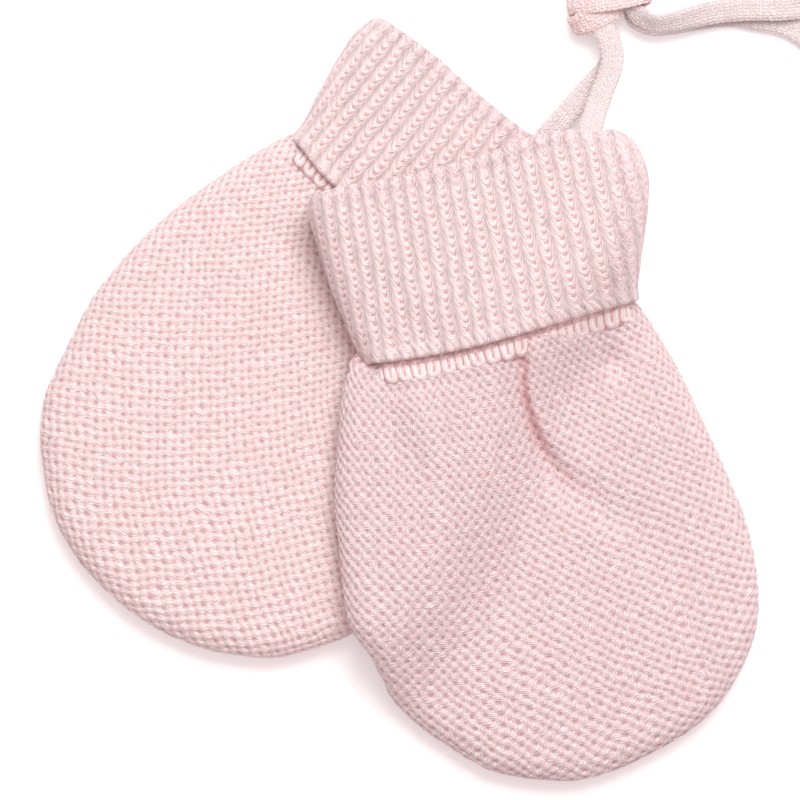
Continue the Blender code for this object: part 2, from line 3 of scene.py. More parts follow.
import bmesh
import bpy
import numpy as np
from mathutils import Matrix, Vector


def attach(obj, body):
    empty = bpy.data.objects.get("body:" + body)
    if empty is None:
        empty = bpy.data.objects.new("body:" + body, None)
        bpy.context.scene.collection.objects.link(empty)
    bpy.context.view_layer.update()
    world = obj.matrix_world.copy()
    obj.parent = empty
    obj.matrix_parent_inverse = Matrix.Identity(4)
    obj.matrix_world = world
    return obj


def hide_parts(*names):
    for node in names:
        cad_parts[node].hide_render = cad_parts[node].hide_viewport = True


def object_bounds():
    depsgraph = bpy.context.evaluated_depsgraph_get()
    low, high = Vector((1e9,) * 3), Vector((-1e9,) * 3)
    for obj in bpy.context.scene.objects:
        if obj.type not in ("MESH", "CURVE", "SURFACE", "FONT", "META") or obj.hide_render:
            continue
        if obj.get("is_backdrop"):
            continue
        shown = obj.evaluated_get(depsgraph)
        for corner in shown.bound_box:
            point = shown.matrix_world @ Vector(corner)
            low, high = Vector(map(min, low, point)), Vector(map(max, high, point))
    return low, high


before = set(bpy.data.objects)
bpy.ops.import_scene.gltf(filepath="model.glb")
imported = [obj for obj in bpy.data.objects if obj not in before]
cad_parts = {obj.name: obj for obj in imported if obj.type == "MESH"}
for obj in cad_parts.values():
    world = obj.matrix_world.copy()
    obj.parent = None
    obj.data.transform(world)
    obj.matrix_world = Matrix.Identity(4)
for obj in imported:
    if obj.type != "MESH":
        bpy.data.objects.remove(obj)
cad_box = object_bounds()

MM = 0.001
UP = np.array([0.0, 0.0, 1.0])

# The studio: a white table under a broad soft light from above and a little behind, seen from
# straight above through a long lens, so that the picture shows 136 mm of it each way.
PICTURE = 136.0
FOCUS_HEIGHT = 6.0
LENS = 400.0
SENSOR = 36.0

scene = bpy.context.scene
camera_data = bpy.data.cameras.new("camera")
camera_data.lens = LENS
camera_data.sensor_width = SENSOR
camera_data.clip_end = 10.0
camera = bpy.data.objects.new("camera", camera_data)
camera.location = (0.0, 0.0, (PICTURE * LENS / SENSOR + FOCUS_HEIGHT) * MM)
scene.collection.objects.link(camera)
scene.camera = camera
scene.view_settings.view_transform = "Standard"

work = bmesh.new()
bmesh.ops.create_grid(work, x_segments=4, y_segments=4, size=1.6)
floor_mesh = bpy.data.meshes.new("floor")
work.to_mesh(floor_mesh)
work.free()
floor = bpy.data.objects.new("floor", floor_mesh)
floor.location.z = -0.0001
scene.collection.objects.link(floor)
floor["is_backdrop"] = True
floor_paint = bpy.data.materials.new("floor")
floor_paint.use_nodes = True
shader = floor_paint.node_tree.nodes["Principled BSDF"]
shader.inputs["Base Color"].default_value = (0.96, 0.955, 0.955, 1.0)
shader.inputs["Emission Color"].default_value = (1.0, 1.0, 1.0, 1.0)
shader.inputs["Emission Strength"].default_value = 0.22
shader.inputs["Roughness"].default_value = 0.9
shader.inputs["Specular IOR Level"].default_value = 0.1
floor_mesh.materials.append(floor_paint)

world = bpy.data.worlds.new("studio")
world.use_nodes = True
world.node_tree.nodes["Background"].inputs["Color"].default_value = (1.0, 0.79, 0.80, 1.0)
world.node_tree.nodes["Background"].inputs["Strength"].default_value = 0.48
scene.world = world
# name, place, size, power, colour
LIGHTS = [
    ("key", (0.15, 0.52, 0.80), 0.56, 7.6, (0.955, 1.0, 0.985)),
    ("top", (0.05, 0.1, 1.2), 0.8, 2.8, (0.97, 1.0, 0.99)),
]
for name, place, size, power, colour in LIGHTS:
    lamp = bpy.data.lights.new(name, "AREA")
    lamp.size = size
    lamp.energy = power
    lamp.color = colour
    light = bpy.data.objects.new(name, lamp)
    light.location = place
    aim = -np.array(place)
    light.rotation_euler = (math.acos(-aim[2] / np.linalg.norm(aim)), 0.0,
                            math.atan2(aim[1], aim[0]) - math.pi / 2)
    scene.collection.objects.link(light)


# Curves and nets that every knitted piece is made with: a smooth line through points, and a fine
# net through a table of points, which keeps each point's place in the stitches as its UV.
def smooth_line(points, per_span=12):
    p = np.asarray(points, float)
    ends = np.vstack([2 * p[0] - p[1], p, 2 * p[-1] - p[-2]])
    t = np.linspace(0.0, 1.0, per_span, endpoint=False)[:, None]
    rows = []
    for a, b, c, d in zip(ends[:-3], ends[1:-2], ends[2:-1], ends[3:]):
        rows.append(0.5 * (2 * b + (c - a) * t + (2 * a - 5 * b + 4 * c - d) * t ** 2
                           + (3 * b - a - 3 * c + d) * t ** 3))
    rows.append(p[-1:])
    return np.vstack(rows)


def unit(vectors):
    return vectors / np.linalg.norm(vectors, axis=1)[:, None]


def reached(line):
    """How far along a line each of its points is."""
    step = np.linalg.norm(np.diff(line, axis=0), axis=1)
    return np.concatenate([[0.0], np.cumsum(step)])


def squared(wave, power):
    """A wave from -1 to 1 with its backs made flatter or rounder."""
    return np.sign(wave) * np.abs(wave) ** power


def resample(line, count, columns=2):
    run = reached(line[:, :columns])
    at = np.linspace(0.0, run[-1], count + 1)
    return np.stack([np.interp(at, run, line[:, c]) for c in range(line.shape[1])], axis=1)


def net(name, points, marks, material, facing=0.0):
    """A knitted surface through a table of points, facing up, down or outwards."""
    across, along = points.shape[0] - 1, points.shape[1] - 1
    work = bmesh.new()
    bmesh.ops.create_grid(work, x_segments=across, y_segments=along, size=1.0)
    mesh = bpy.data.meshes.new(name)
    work.to_mesh(mesh)
    work.free()
    flat = np.empty(len(mesh.vertices) * 3)
    mesh.vertices.foreach_get("co", flat)
    share = (flat.reshape(-1, 3)[:, :2] + 1.0) / 2.0
    i = np.rint(share[:, 0] * across).astype(int)
    j = np.rint(share[:, 1] * along).astype(int)
    mesh.vertices.foreach_set("co", (points[i, j] * MM).ravel())
    corner = np.empty(len(mesh.loops), int)
    mesh.loops.foreach_get("vertex_index", corner)
    for k, title in enumerate(("stitches", "bands")[:marks.shape[2] // 2]):
        layer = mesh.uv_layers.new(name=title)
        layer.data.foreach_set("uv", marks[i, j][corner][:, 2 * k:2 * k + 2].ravel())
    work = bmesh.new()
    work.from_mesh(mesh)
    rim = [v for v in work.verts if v.is_boundary]
    bmesh.ops.remove_doubles(work, verts=rim, dist=1e-7)
    if facing == 0.0:
        rim = [e for e in work.edges if e.is_boundary]
        if rim:
            bmesh.ops.holes_fill(work, edges=rim, sides=0)
        bmesh.ops.recalc_face_normals(work, faces=work.faces)
    work.normal_update()
    if facing * sum(f.normal.z * f.calc_area() for f in work.faces) < 0.0:
        bmesh.ops.reverse_faces(work, faces=work.faces)
    work.to_mesh(mesh)
    work.free()
    mesh.shade_smooth()
    mesh.materials.append(material)
    piece = bpy.data.objects.new(name, mesh)
    scene.collection.objects.link(piece)
    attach(piece, "root")
    return piece


def uneven(a, b, seed, spacing):
    """Smooth unevenness from -1 to 1, as hand-guided yarn has."""
    table = np.random.default_rng(seed).uniform(-1.0, 1.0, (97, 89))
    a, b = np.asarray(a) / spacing, np.asarray(b) / spacing
    i, j = np.floor(a).astype(int), np.floor(b).astype(int)
    u, v = a - i, b - j
    u, v = u * u * (3.0 - 2.0 * u), v * v * (3.0 - 2.0 * v)
    low = table[i % 97, j % 89] * (1.0 - u) + table[(i + 1) % 97, j % 89] * u
    high = table[i % 97, (j + 1) % 89] * (1.0 - u) + table[(i + 1) % 97, (j + 1) % 89] * u
    return low * (1.0 - v) + high * v


def apart(x):
    """How far a place is off the nearest whole stitch."""
    return x - np.round(x)


def arch(x):
    """The round back of a strand: 1 in its middle, 0 from 1 on."""
    return np.sqrt(np.maximum(1.0 - x ** 2, 0.0))


class Nodes:
    """Short hand for a material's node tree, with apart and arch as above."""

    def __init__(self, name):
        self.material = bpy.data.materials.new(name)
        self.material.use_nodes = True
        self.tree = self.material.node_tree
        self.shader = self.tree.nodes["Principled BSDF"]

    def put(self, socket, value):
        if isinstance(value, bpy.types.NodeSocket):
            self.tree.links.new(value, socket)
        else:
            socket.default_value = value

    def math(self, operation, *values):
        node = self.tree.nodes.new("ShaderNodeMath")
        node.operation = operation
        for socket, value in zip(node.inputs, values):
            self.put(socket, value)
        return node.outputs[0]

    def plus(self, *values):
        return self.math("ADD", *values)

    def minus(self, *values):
        return self.math("SUBTRACT", *values)

    def times(self, *values):
        return self.math("MULTIPLY", *values)

    def apart(self, x):
        return self.minus(x, self.math("ROUND", x))

    def arch(self, x):
        left = self.minus(1.0, self.times(x, x))
        return self.math("SQRT", self.math("MAXIMUM", left, 0.0))

    def smooth(self, value, low, high):
        node = self.tree.nodes.new("ShaderNodeMapRange")
        node.interpolation_type = "SMOOTHSTEP"
        for socket, number in zip(node.inputs, (value, low, high, 0.0, 1.0)):
            self.put(socket, number)
        return node.outputs[0]

    def blend(self, share, low, high):
        return self.plus(low, self.times(share, self.minus(high, low)))

    def colour_mix(self, share, low, high, blend="MIX"):
        node = self.tree.nodes.new("ShaderNodeMix")
        node.data_type = "RGBA"
        node.blend_type = blend
        self.put(node.inputs[0], share)
        self.put(node.inputs[6], low)
        self.put(node.inputs[7], high)
        return node.outputs[2]

    def noise(self, vector, scale, detail=2.0, roughness=0.5):
        node = self.tree.nodes.new("ShaderNodeTexNoise")
        self.put(node.inputs["Vector"], vector)
        node.inputs["Scale"].default_value = scale
        node.inputs["Detail"].default_value = detail
        node.inputs["Roughness"].default_value = roughness
        return node.outputs["Fac"]

    def joined(self, x, y, z=0.0):
        node = self.tree.nodes.new("ShaderNodeCombineXYZ")
        for socket, value in zip(node.inputs, (x, y, z)):
            self.put(socket, value)
        return node.outputs[0]

    def chance(self, x, y):
        node = self.tree.nodes.new("ShaderNodeTexWhiteNoise")
        node.noise_dimensions = "2D"
        self.put(node.inputs["Vector"], self.joined(x, y))
        return node.outputs["Value"]

    def plies(self, lane, along, stitch=None):
        """The yarn's fine twisted strands, one to each whole `lane`, set afresh in a stitch."""
        if stitch:
            lane = self.plus(lane, stitch)
            along = self.plus(along, self.times(stitch, 7.0))
        drift = self.noise(self.joined(self.times(lane, 0.6), along), 1.0, 1.0, 0.5)
        bent = self.plus(lane, self.times(drift, 1.8))
        wave = self.math("COSINE", self.times(bent, 2 * math.pi))
        wave = self.plus(self.times(wave, 0.5), 0.5)
        rough = self.plus(self.times(self.smooth(drift, 0.36, 0.64), 0.8), 0.4)
        return self.times(wave, rough)

    def stitches(self, layer="stitches"):
        node = self.tree.nodes.new("ShaderNodeUVMap")
        node.uv_map = layer
        parts = self.tree.nodes.new("ShaderNodeSeparateXYZ")
        self.tree.links.new(node.outputs[0], parts.inputs[0])
        return parts.outputs[0], parts.outputs[1]

    def bump(self, height, streak, share, depth):
        node = self.tree.nodes.new("ShaderNodeBump")
        node.inputs["Strength"].default_value = 1.0
        node.inputs["Distance"].default_value = depth * MM
        self.put(node.inputs["Height"], self.plus(height, self.times(streak, share)))
        self.put(self.shader.inputs["Normal"], node.outputs[0])

    def place(self):
        return self.tree.nodes.new("ShaderNodeTexCoord").outputs["Object"]


# Cotton yarn: pale pink plied strands, painted near white along the plies as their highlight,
# dusky pink where they dip, and a deeper pink painted as shade in the gaps between stitches.
YARN_PALE_AND_HIGHLIGHT = (0.985, 0.870, 0.870, 1.0)
YARN_PINK = (0.845, 0.580, 0.595, 1.0)
GAP_SHADE_PINK = (0.66, 0.345, 0.360, 1.0)


def yarn_colour_and_painted_light(nodes, height, streak, shade_low, shade_high, mottle=0.5, tone_and_shade=None):
    """Colour and sheen of cotton from how high it stands in its stitch and its strands, with
    painted shade in the low gaps and a painted highlight along the plies.
    """
    cloud = nodes.noise(nodes.place(), 420.0, 3.0, 0.6)
    # The plies' streak lifts the colour towards near white as a painted highlight; the cloud adds
    # lighter patches at random.
    pale = nodes.plus(nodes.times(streak, 0.70), nodes.times(cloud, mottle))
    yarn = nodes.colour_mix(nodes.smooth(pale, 0.10, 0.95), YARN_PINK, YARN_PALE_AND_HIGHLIGHT)
    # Where the stitch is low, the colour sinks to the deep gap pink: painted shade between
    # stitches.
    colour = nodes.colour_mix(nodes.smooth(height, shade_low, shade_high), GAP_SHADE_PINK, yarn)
    # Last, each material's overall tone is mixed in. For the hands and ribs this also carries
    # painted shade.
    if tone_and_shade:
        colour = nodes.colour_mix(tone_and_shade[0], colour, tone_and_shade[1], tone_and_shade[2])
    nodes.put(nodes.shader.inputs["Base Color"], colour)
    nodes.shader.inputs["Roughness"].default_value = 0.5
    nodes.shader.inputs["Specular IOR Level"].default_value = 0.45
    nodes.shader.inputs["Sheen Weight"].default_value = 0.12
    nodes.shader.inputs["Sheen Roughness"].default_value = 0.4
    return nodes.material


# The cord: one flat knitted tape from inside the back cuff to inside the front one, both of its
# ends drawn through one overhand knot, with the loop that runs off the picture finished plainly.
CORD_WIDTH = 3.9
CORD_THICK = 1.25
CORD_COLUMN = 1.10      # from chain to chain across the tape's two faces
CORD_STITCH = 1.10
CORD_STEP = 0.30
CORD_SIDES = 32
CORD_RELIEF = 0.30
CHAIN_LEG = (0.25, 0.27)     # a V's leg: from the chain's middle, and half its width
CHAIN_SLOPE = 1.25
CHAIN_YARN = 0.54
KNOT_CENTRE = (35.3, 69.0, 3.6)
KNOT_REACH = (6.5, 5.0, 5.0)
KNOT_SQUEEZE = 0.62     # the tape's width in the knot, as a share of the whole
# x, y, z, roll of the tape in degrees
ROUTE_FROM_BACK = [
    (19.0, 38.0, 4.5, 0.0), (21.8, 41.3, 4.5, 0.0), (24.4, 44.2, 4.5, 4.0), (26.6, 46.6, 4.3, 8.0),
    (29.5, 49.9, 3.6, 12.0), (32.4, 53.3, 2.8, 20.0), (35.1, 56.2, 2.4, 26.0),
    (36.1, 58.6, 2.3, 14.0), (35.7, 61.0, 2.5, 0.0), (34.7, 63.2, 2.8, 0.0), (33.4, 65.4, 3.0, 0.0),
]
ROUTE_FROM_FRONT = [
    (31.2, 34.0, 14.15, 0.0), (31.5, 37.4, 14.15, 0.0), (31.8, 40.6, 14.1, 2.0),
    (31.9, 43.0, 13.85, 7.0), (32.0, 44.8, 13.3, 13.0), (32.3, 46.4, 12.3, 18.0),
    (33.1, 48.9, 10.4, 22.0), (34.3, 52.2, 8.5, 24.0), (35.7, 55.9, 7.2, 24.0),
    (36.1, 58.7, 6.0, 12.0), (35.6, 61.0, 5.3, 0.0), (34.6, 63.2, 4.9, 0.0), (33.4, 65.4, 4.6, 0.0),
]
ROUTE_IN_KNOT = [(32.4, 67.7, 0.0), (32.9, 70.9, 0.0), (35.7, 72.4, 0.0), (38.2, 71.0, 0.0)]
ROUTE_LOOP = [
    (38.4, 68.6, 4.6, -10.0), (39.6, 66.6, 4.6, -20.0), (41.4, 64.8, 4.5, -40.0),
    (43.6, 64.0, 4.4, -42.0), (46.8, 64.4, 4.1, -34.0), (50.2, 65.3, 3.6, -20.0),
    (54.5, 66.2, 3.1, -6.0), (59.6, 66.6, 2.8, 0.0), (64.7, 66.6, 2.6, 0.0),
    (69.6, 67.2, 2.1, 0.0), (75.4, 68.6, 1.3, 0.0), (81.4, 68.4, 0.9, 0.0),
    (86.4, 65.8, 0.9, 0.0), (88.8, 61.0, 0.9, 0.0), (87.4, 55.8, 0.9, 0.0),
    (82.8, 52.6, 0.9, 0.0), (77.4, 53.8, 0.9, 0.0), (72.6, 58.9, 0.9, 0.0),
    (68.2, 62.6, 0.9, 0.0), (64.7, 64.2, 0.9, 0.0), (61.0, 64.9, 0.9, 0.0),
    (57.0, 65.6, 0.9, 0.0), (53.4, 65.4, 1.1, -6.0), (50.2, 64.8, 1.5, -20.0),
    (46.8, 64.1, 1.9, -32.0), (43.4, 63.7, 2.1, -38.0), (41.0, 64.6, 2.2, -30.0),
    (39.3, 66.4, 2.4, -10.0), (38.2, 68.4, 2.6, 0.0),
]


def chain_height(column, row):
    """Knit chains seen from their right side: a column of nested V shapes each."""
    a = np.abs(apart(column))
    leg = arch((a - CHAIN_LEG[0]) / CHAIN_LEG[1])
    return leg * arch(apart(row - CHAIN_SLOPE * a) / CHAIN_YARN)


def tape(name, line, level, width, thick, closed, material):
    """A flat knitted tape along a line; `level` points to its own right."""
    run = np.gradient(line, axis=0)
    if closed:
        run[0] = run[-1] = line[1] - line[-2]
    up = unit(np.cross(unit(run), level))
    reach = reached(line)
    stitches = max(1, round(reach[-1] / CORD_STITCH))
    row = reach / reach[-1] * stitches
    angle = np.linspace(0.0, 2 * math.pi, CORD_SIDES + 1)
    flat, tall = squared(np.cos(angle), 0.75), squared(np.sin(angle), 0.65)
    width = np.broadcast_to(width, len(line))[:, None]
    rim = np.stack([flat * width.mean() / 2, tall * thick / 2], axis=1)
    around = reached(rim)
    columns = round(around[-1] / CORD_COLUMN)
    column = around / around[-1] * columns
    rows, cols = np.meshgrid(row, column, indexing="ij")
    cols = cols + 0.10 * uneven(cols, rows, 21, 1.3)
    rows = rows + 0.16 * uneven(rows, cols, 22, 1.7)
    lift = (chain_height(cols, rows) - 0.62) * CORD_RELIEF
    lift = lift * (0.55 + 0.45 * np.abs(tall)[None, :])
    flat = flat[None, :] * (width / 2 + lift)
    tall = tall[None, :] * (thick / 2 + lift)
    points = line[:, None] + level[:, None] * flat[..., None] + up[:, None] * tall[..., None]
    points[:, -1] = points[:, 0]
    if closed:
        points[-1] = points[0]
    piece = net(name, points, np.stack([cols, rows], axis=-1), material)
    return piece


def cord_knit(name, tone_and_shade):
    """The chains of chain_height again, for the cord's colour and its fine strands."""
    nodes = Nodes(name)
    column, row = nodes.stitches()
    a = nodes.math("ABSOLUTE", nodes.apart(column))
    leg = nodes.arch(nodes.math("DIVIDE", nodes.minus(a, CHAIN_LEG[0]), CHAIN_LEG[1]))
    bent = nodes.minus(row, nodes.times(a, CHAIN_SLOPE))
    height = nodes.times(leg, nodes.arch(nodes.math("DIVIDE", nodes.apart(bent), CHAIN_YARN)))
    lane = nodes.plus(nodes.times(bent, 2.0), nodes.times(a, 2.0))
    streak = nodes.plies(lane, nodes.times(column, 1.5))
    nodes.bump(height, streak, 0.6, 0.14)
    return yarn_colour_and_painted_light(nodes, height, streak, -0.35, 0.70, tone_and_shade=tone_and_shade)


# The cord's copy is mixed about a third of the way to a cool grey and the knot's copy is not, so
# the knot of the same tape shows brighter and pinker.
cord_material = cord_knit("cord_knit", (0.35, (0.56, 0.62, 0.635, 1.0), "MIX"))
knot_material = cord_knit("knot_knit", None)

low = [(x, y, z, roll) for (x, y, roll), z in zip(ROUTE_IN_KNOT, (2.9, 2.8, 2.7, 2.6))]
high = [(x, y, z, roll) for (x, y, roll), z in zip(reversed(ROUTE_IN_KNOT), (4.6, 4.7, 4.7, 4.6))]
route = ROUTE_FROM_BACK + low + ROUTE_LOOP[::-1] + high + ROUTE_FROM_FRONT[::-1]
line = smooth_line(route, 24)
line = resample(line, int(round(reached(line[:, :3])[-1] / CORD_STEP)), 3)
run = np.gradient(line[:, :3], axis=0)
level = unit(np.cross(UP, run))
up = unit(np.cross(run, level))
# a roll is about the direction of the whole route, also where a part of it is listed backwards
turned = np.radians(line[:, 3])[:, None]
level = level * np.cos(turned) + up * np.sin(turned)
knot_off = np.linalg.norm((line[:, :3] - KNOT_CENTRE) / KNOT_REACH, axis=1)
freed = np.clip((knot_off - 0.75) / 0.35, 0.0, 1.0)
width = CORD_WIDTH * (KNOT_SQUEEZE + (1.0 - KNOT_SQUEEZE) * freed)
cord = tape("cord", line[:, :3], level, width, CORD_THICK, False, cord_material)
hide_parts("cord_from_back", "cord_from_front", "cord_loop")

# The knot: the tape drawn round itself, seen as three wraps lying over each other.
# x, y, z of a wrap's middle, its direction and roll, half length, half height, width
WRAPS = [
    (35.6, 68.3, 3.8, 9.0, 8.0, 7.3, 3.3, 5.2),
    (33.5, 65.8, 3.4, 27.0, -16.0, 5.1, 2.9, 4.6),
    (36.6, 72.2, 3.2, 2.0, -10.0, 5.6, 2.6, 3.8),
]
for k, (x, y, z, turn, roll, half_length, half_height, width) in enumerate(WRAPS):
    angle = np.linspace(0.0, 2 * math.pi, 150)
    turn, roll = math.radians(turn), math.radians(roll)
    long_way = np.array([math.cos(turn), math.sin(turn), 0.0])
    side_way = np.array([-math.sin(turn), math.cos(turn), 0.0])
    high_way = UP * math.cos(roll) + side_way * math.sin(roll)
    side_way = side_way * math.cos(roll) - UP * math.sin(roll)
    shape = squared(np.cos(angle), 0.85) * (half_length - CORD_THICK / 2)
    rise = np.sin(angle) * (half_height - CORD_THICK / 2)
    line_k = np.array([x, y, z]) + shape[:, None] * long_way + rise[:, None] * high_way
    line_k = resample(line_k, 130, 3)
    level_k = np.broadcast_to(side_way, line_k.shape)
    share = (line_k - np.array([x, y, z])) @ long_way / half_length
    width = width * np.sqrt(1.0 - 0.62 * np.clip(share, -1.0, 1.0) ** 2)
    tape(f"knot_wrap_{k + 1}", line_k, level_k, width, CORD_THICK, True, knot_material)
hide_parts("cord_knot")

# The mittens' cut: each is a hand of two faces joined round its outline and a cuff of ribbing,
# linked to it and turned back. Sizes are in millimetres, in each mitten's own frame.
HAND_HALF = 3.75        # half of a flat hand's whole thickness
RIB_WALL = 1.6
RIB_IN = 1.0            # inside of the cuff's inner layer, from the middle plane
RIB_OUT = RIB_IN + RIB_WALL
FLAP_IN = RIB_OUT + 0.3
FLAP_OUT = FLAP_IN + RIB_WALL
SEAM_GAP = 0.3
REST_GAP = 0.3
SETTLE_START = 29.0     # where a hand leaves the cuff's thickness for its own, along the mitten
SETTLE_LENGTH = 11.0
DRAPE_CELL = 1.0
DRAPE_REACH = 10.0

BACK = {
    "name": "back",
    "origin": (17.1, 50.2),
    "turn": 125.0,
    # along, left, right
    "hand": [
        (25.8, 26.6, 21.4), (27.2, 27.8, 21.8), (29.0, 28.8, 22.2), (31.6, 30.0, 22.6),
        (34.0, 31.0, 23.0), (37.4, 32.3, 23.6), (40.8, 33.6, 24.4), (47.6, 35.7, 26.2),
        (54.4, 37.2, 28.0), (61.2, 37.9, 29.6), (67.0, 38.1, 30.8), (74.8, 37.1, 32.0),
        (81.6, 36.0, 32.4), (85.0, 35.2, 32.0), (88.4, 33.6, 30.8), (91.8, 31.5, 28.8),
        (95.2, 28.4, 26.2), (98.6, 25.0, 23.1), (102.0, 20.4, 17.8), (105.2, 12.5, 10.2),
    ],
    "tip": (-1.0, 106.8),
    # across, along at the seam between cuff and hand
    "seam": [(-30.0, 24.9), (-20.0, 27.1), (-10.0, 28.6), (0.0, 29.2), (10.0, 28.9),
             (20.0, 27.8), (26.0, 26.7)],
    "rows": (0.0029, 7.0),           # sag of the knitted rows and its middle across
    # across, along at the fold
    "fold": [(-26.0, -0.2), (-23.0, -0.6), (-14.0, -0.4), (-7.0, 0.4), (0.0, 1.0), (6.0, 1.2),
             (12.0, 1.0), (20.0, 0.2), (26.0, 0.8)],
    # across, along at the turned-back edge
    "edge": [(-26.0, 24.9), (-23.5, 25.3), (-17.0, 27.1), (-6.0, 28.1), (6.0, 28.1),
             (20.0, 26.8)],
    # along, left, right
    "cuff": [(-2.0, 25.6, 23.4), (0.7, 26.4, 25.2), (4.4, 27.4, 25.8), (8.5, 27.3, 25.8),
             (13.6, 26.8, 25.0), (17.0, 26.5, 24.0), (20.4, 25.9, 23.0), (24.0, 25.8, 22.4),
             (26.6, 26.0, 22.4), (30.0, 27.6, 23.4)],
}
FRONT = {
    "name": "front",
    "origin": (13.3, 40.5),
    "turn": 77.0,
    "hand": [
        (29.3, 28.7, 20.6), (30.3, 29.6, 21.2), (31.4, 30.4, 21.7), (33.7, 31.6, 22.7),
        (37.4, 32.9, 23.9),
        (42.0, 34.3, 25.3), (50.3, 36.7, 27.2), (59.0, 37.9, 29.0), (67.5, 39.0, 30.5),
        (72.0, 38.9, 30.8), (74.6, 38.1, 30.8), (77.4, 36.9, 30.7), (81.6, 35.8, 30.2),
        (85.0, 35.1, 29.4), (88.4, 33.4, 28.1), (91.8, 31.0, 26.1), (95.2, 27.9, 23.3),
        (98.6, 24.5, 19.8), (102.0, 20.2, 14.2), (105.2, 12.2, 4.0),
    ],
    "tip": (-5.2, 106.4),
    "seam": [(-31.0, 27.9), (-29.0, 29.3), (-26.5, 30.7), (-22.7, 31.7), (-17.6, 32.3),
             (-12.4, 32.5), (-7.0, 32.5), (0.0, 32.2), (7.0, 31.8), (15.0, 31.1), (20.0, 30.4),
             (24.0, 29.3)],
    "rows": (0.0044, -5.6),
    "fold": [(-27.6, 1.2), (-25.5, -0.9), (-20.4, -0.7), (-13.4, -0.5), (0.5, -0.7),
             (7.7, -1.7), (12.1, -1.9), (17.5, -1.7), (20.5, -1.3), (23.0, -0.1)],
    "edge": [(-25.9, 29.1), (-17.9, 29.9), (-8.2, 30.3), (1.7, 29.9), (12.6, 29.2),
             (20.7, 28.9)],
    "cuff": [(-2.0, 29.0, 24.4), (0.5, 29.8, 24.9), (2.2, 30.2, 26.2), (4.4, 30.1, 27.1),
             (8.6, 29.8, 27.5), (13.6, 29.5, 26.4), (17.0, 29.1, 25.2), (20.4, 28.5, 23.9),
             (23.8, 28.0, 22.7), (27.2, 27.2, 21.5), (28.8, 26.6, 21.3), (31.0, 26.9, 21.5)],
}


def look_up(table, at, column=1):
    """A smooth curve's value, from a table of its points."""
    line = smooth_line(table, 10)
    order = np.argsort(line[:, 0])
    return np.interp(at, line[order, 0], line[order, column])


def to_world(mitten, across, along):
    """From a mitten's own frame to the table's."""
    angle = math.radians(mitten["turn"])
    x = mitten["origin"][0] + across * math.sin(angle) + along * math.cos(angle)
    y = mitten["origin"][1] + across * math.cos(angle) - along * math.sin(angle)
    return x, y


def soft_step(value, low, high):
    share = np.clip((value - low) / (high - low), 0.0, 1.0)
    return share * share * (3.0 - 2.0 * share)


# What a mitten lies on: the table, or the mitten below with the cloth's drape down from it.
class Ground:
    def __init__(self, points=None):
        self.low = np.array([-75.0, -80.0])
        self.shape = (160, 170)
        self.height = np.zeros(self.shape)
        if points is None:
            return
        raw = np.zeros(self.shape)
        cell = np.round((points[:, :2] - self.low) / DRAPE_CELL).astype(int)
        np.maximum.at(raw, (cell[:, 0], cell[:, 1]), points[:, 2] + REST_GAP)
        reach = int(math.ceil(DRAPE_REACH / DRAPE_CELL))
        near = [(i, j) for i in range(-reach, reach + 1) for j in range(-reach, reach + 1)
                if i * i + j * j <= reach * reach]
        lifted = np.max([np.roll(raw, n, (0, 1)) for n in near], axis=0)
        weight = [1.0 + math.cos(math.pi * math.hypot(*n) / (reach + 1)) for n in near]
        total = sum(w * np.roll(lifted, n, (0, 1)) for w, n in zip(weight, near))
        self.height = total / sum(weight)

    def at(self, x, y):
        gx = np.clip((x - self.low[0]) / DRAPE_CELL, 1, self.shape[0] - 3.001)
        gy = np.clip((y - self.low[1]) / DRAPE_CELL, 1, self.shape[1] - 3.001)
        i, j = gx.astype(int), gy.astype(int)
        a, b = gx - i, gy - j
        total = np.zeros_like(a)
        for m, wa in enumerate(self.spline(a)):
            for n, wb in enumerate(self.spline(b)):
                total += wa * wb * self.height[i + m - 1, j + n - 1]
        return total

    @staticmethod
    def spline(t):
        return ((1 - t) ** 3 / 6, (3 * t ** 3 - 6 * t ** 2 + 4) / 6,
                (-3 * t ** 3 + 3 * t ** 2 + 3 * t + 1) / 6, t ** 3 / 6)


# The hands. Each face is one net of knitted rows from the linking seam to the tip, rounded over
# at the outline, with the front hand's pleat and the soft waves of both.
ROW_PITCH = 2.04        # from ridge to ridge of the hand's knitting
STITCH_PITCH = 1.86     # from stitch to stitch, at mid hand
STITCH_SPREAD = 0.0080  # how fast the stitches widen towards the tip
SPREAD_MIDDLE = 65.0
BEAD_HEIGHT = 0.38
BEAD_SINK = 0.25        # how far the knitting's gaps lie under the cloth's measured face
BEAD_FULLNESS = 0.74
BEAD_ROWS = 0.085       # how much the beads of a row stand out from those between rows
TUCK = 1.6              # cloth turned in at the seam
UPPER_NET = (8, 230)    # rows of the net to a ridge, and its columns
UNDER_NET = (4, 120)

# across, along, rise, sink, sharpness
PLEAT = [
    (0.6, 31.5, 0.90, 0.60, 0.50), (0.0, 34.5, 1.20, 0.80, 0.50), (-0.9, 38.0, 1.30, 0.90, 0.45),
    (-1.2, 41.0, 1.35, 0.95, 0.45), (-1.0, 45.0, 1.30, 0.95, 0.50), (-0.2, 49.0, 1.15, 0.85, 0.70),
    (1.0, 52.8, 0.90, 0.70, 1.20), (3.6, 56.6, 0.60, 0.60, 2.00), (7.5, 60.3, 0.35, 0.50, 3.00),
    (13.7, 67.0, 0.15, 0.40, 3.60), (18.9, 78.4, 0.0, 0.15, 4.50),
]
PLEAT_BULGE = 5.5
PLEAT_DIP = 3.6
PLEAT_RISE, PLEAT_SINK = 1.15, 1.2       # shares of the table's rise and sink
CREASE_DEPTH = (0.48, 0.4)               # the pleat's sink where the crease's painted shade starts, and how much more sink makes it full
# Half width of the crease's painted shade, in millimetres.
CREASE_HALF = 0.85
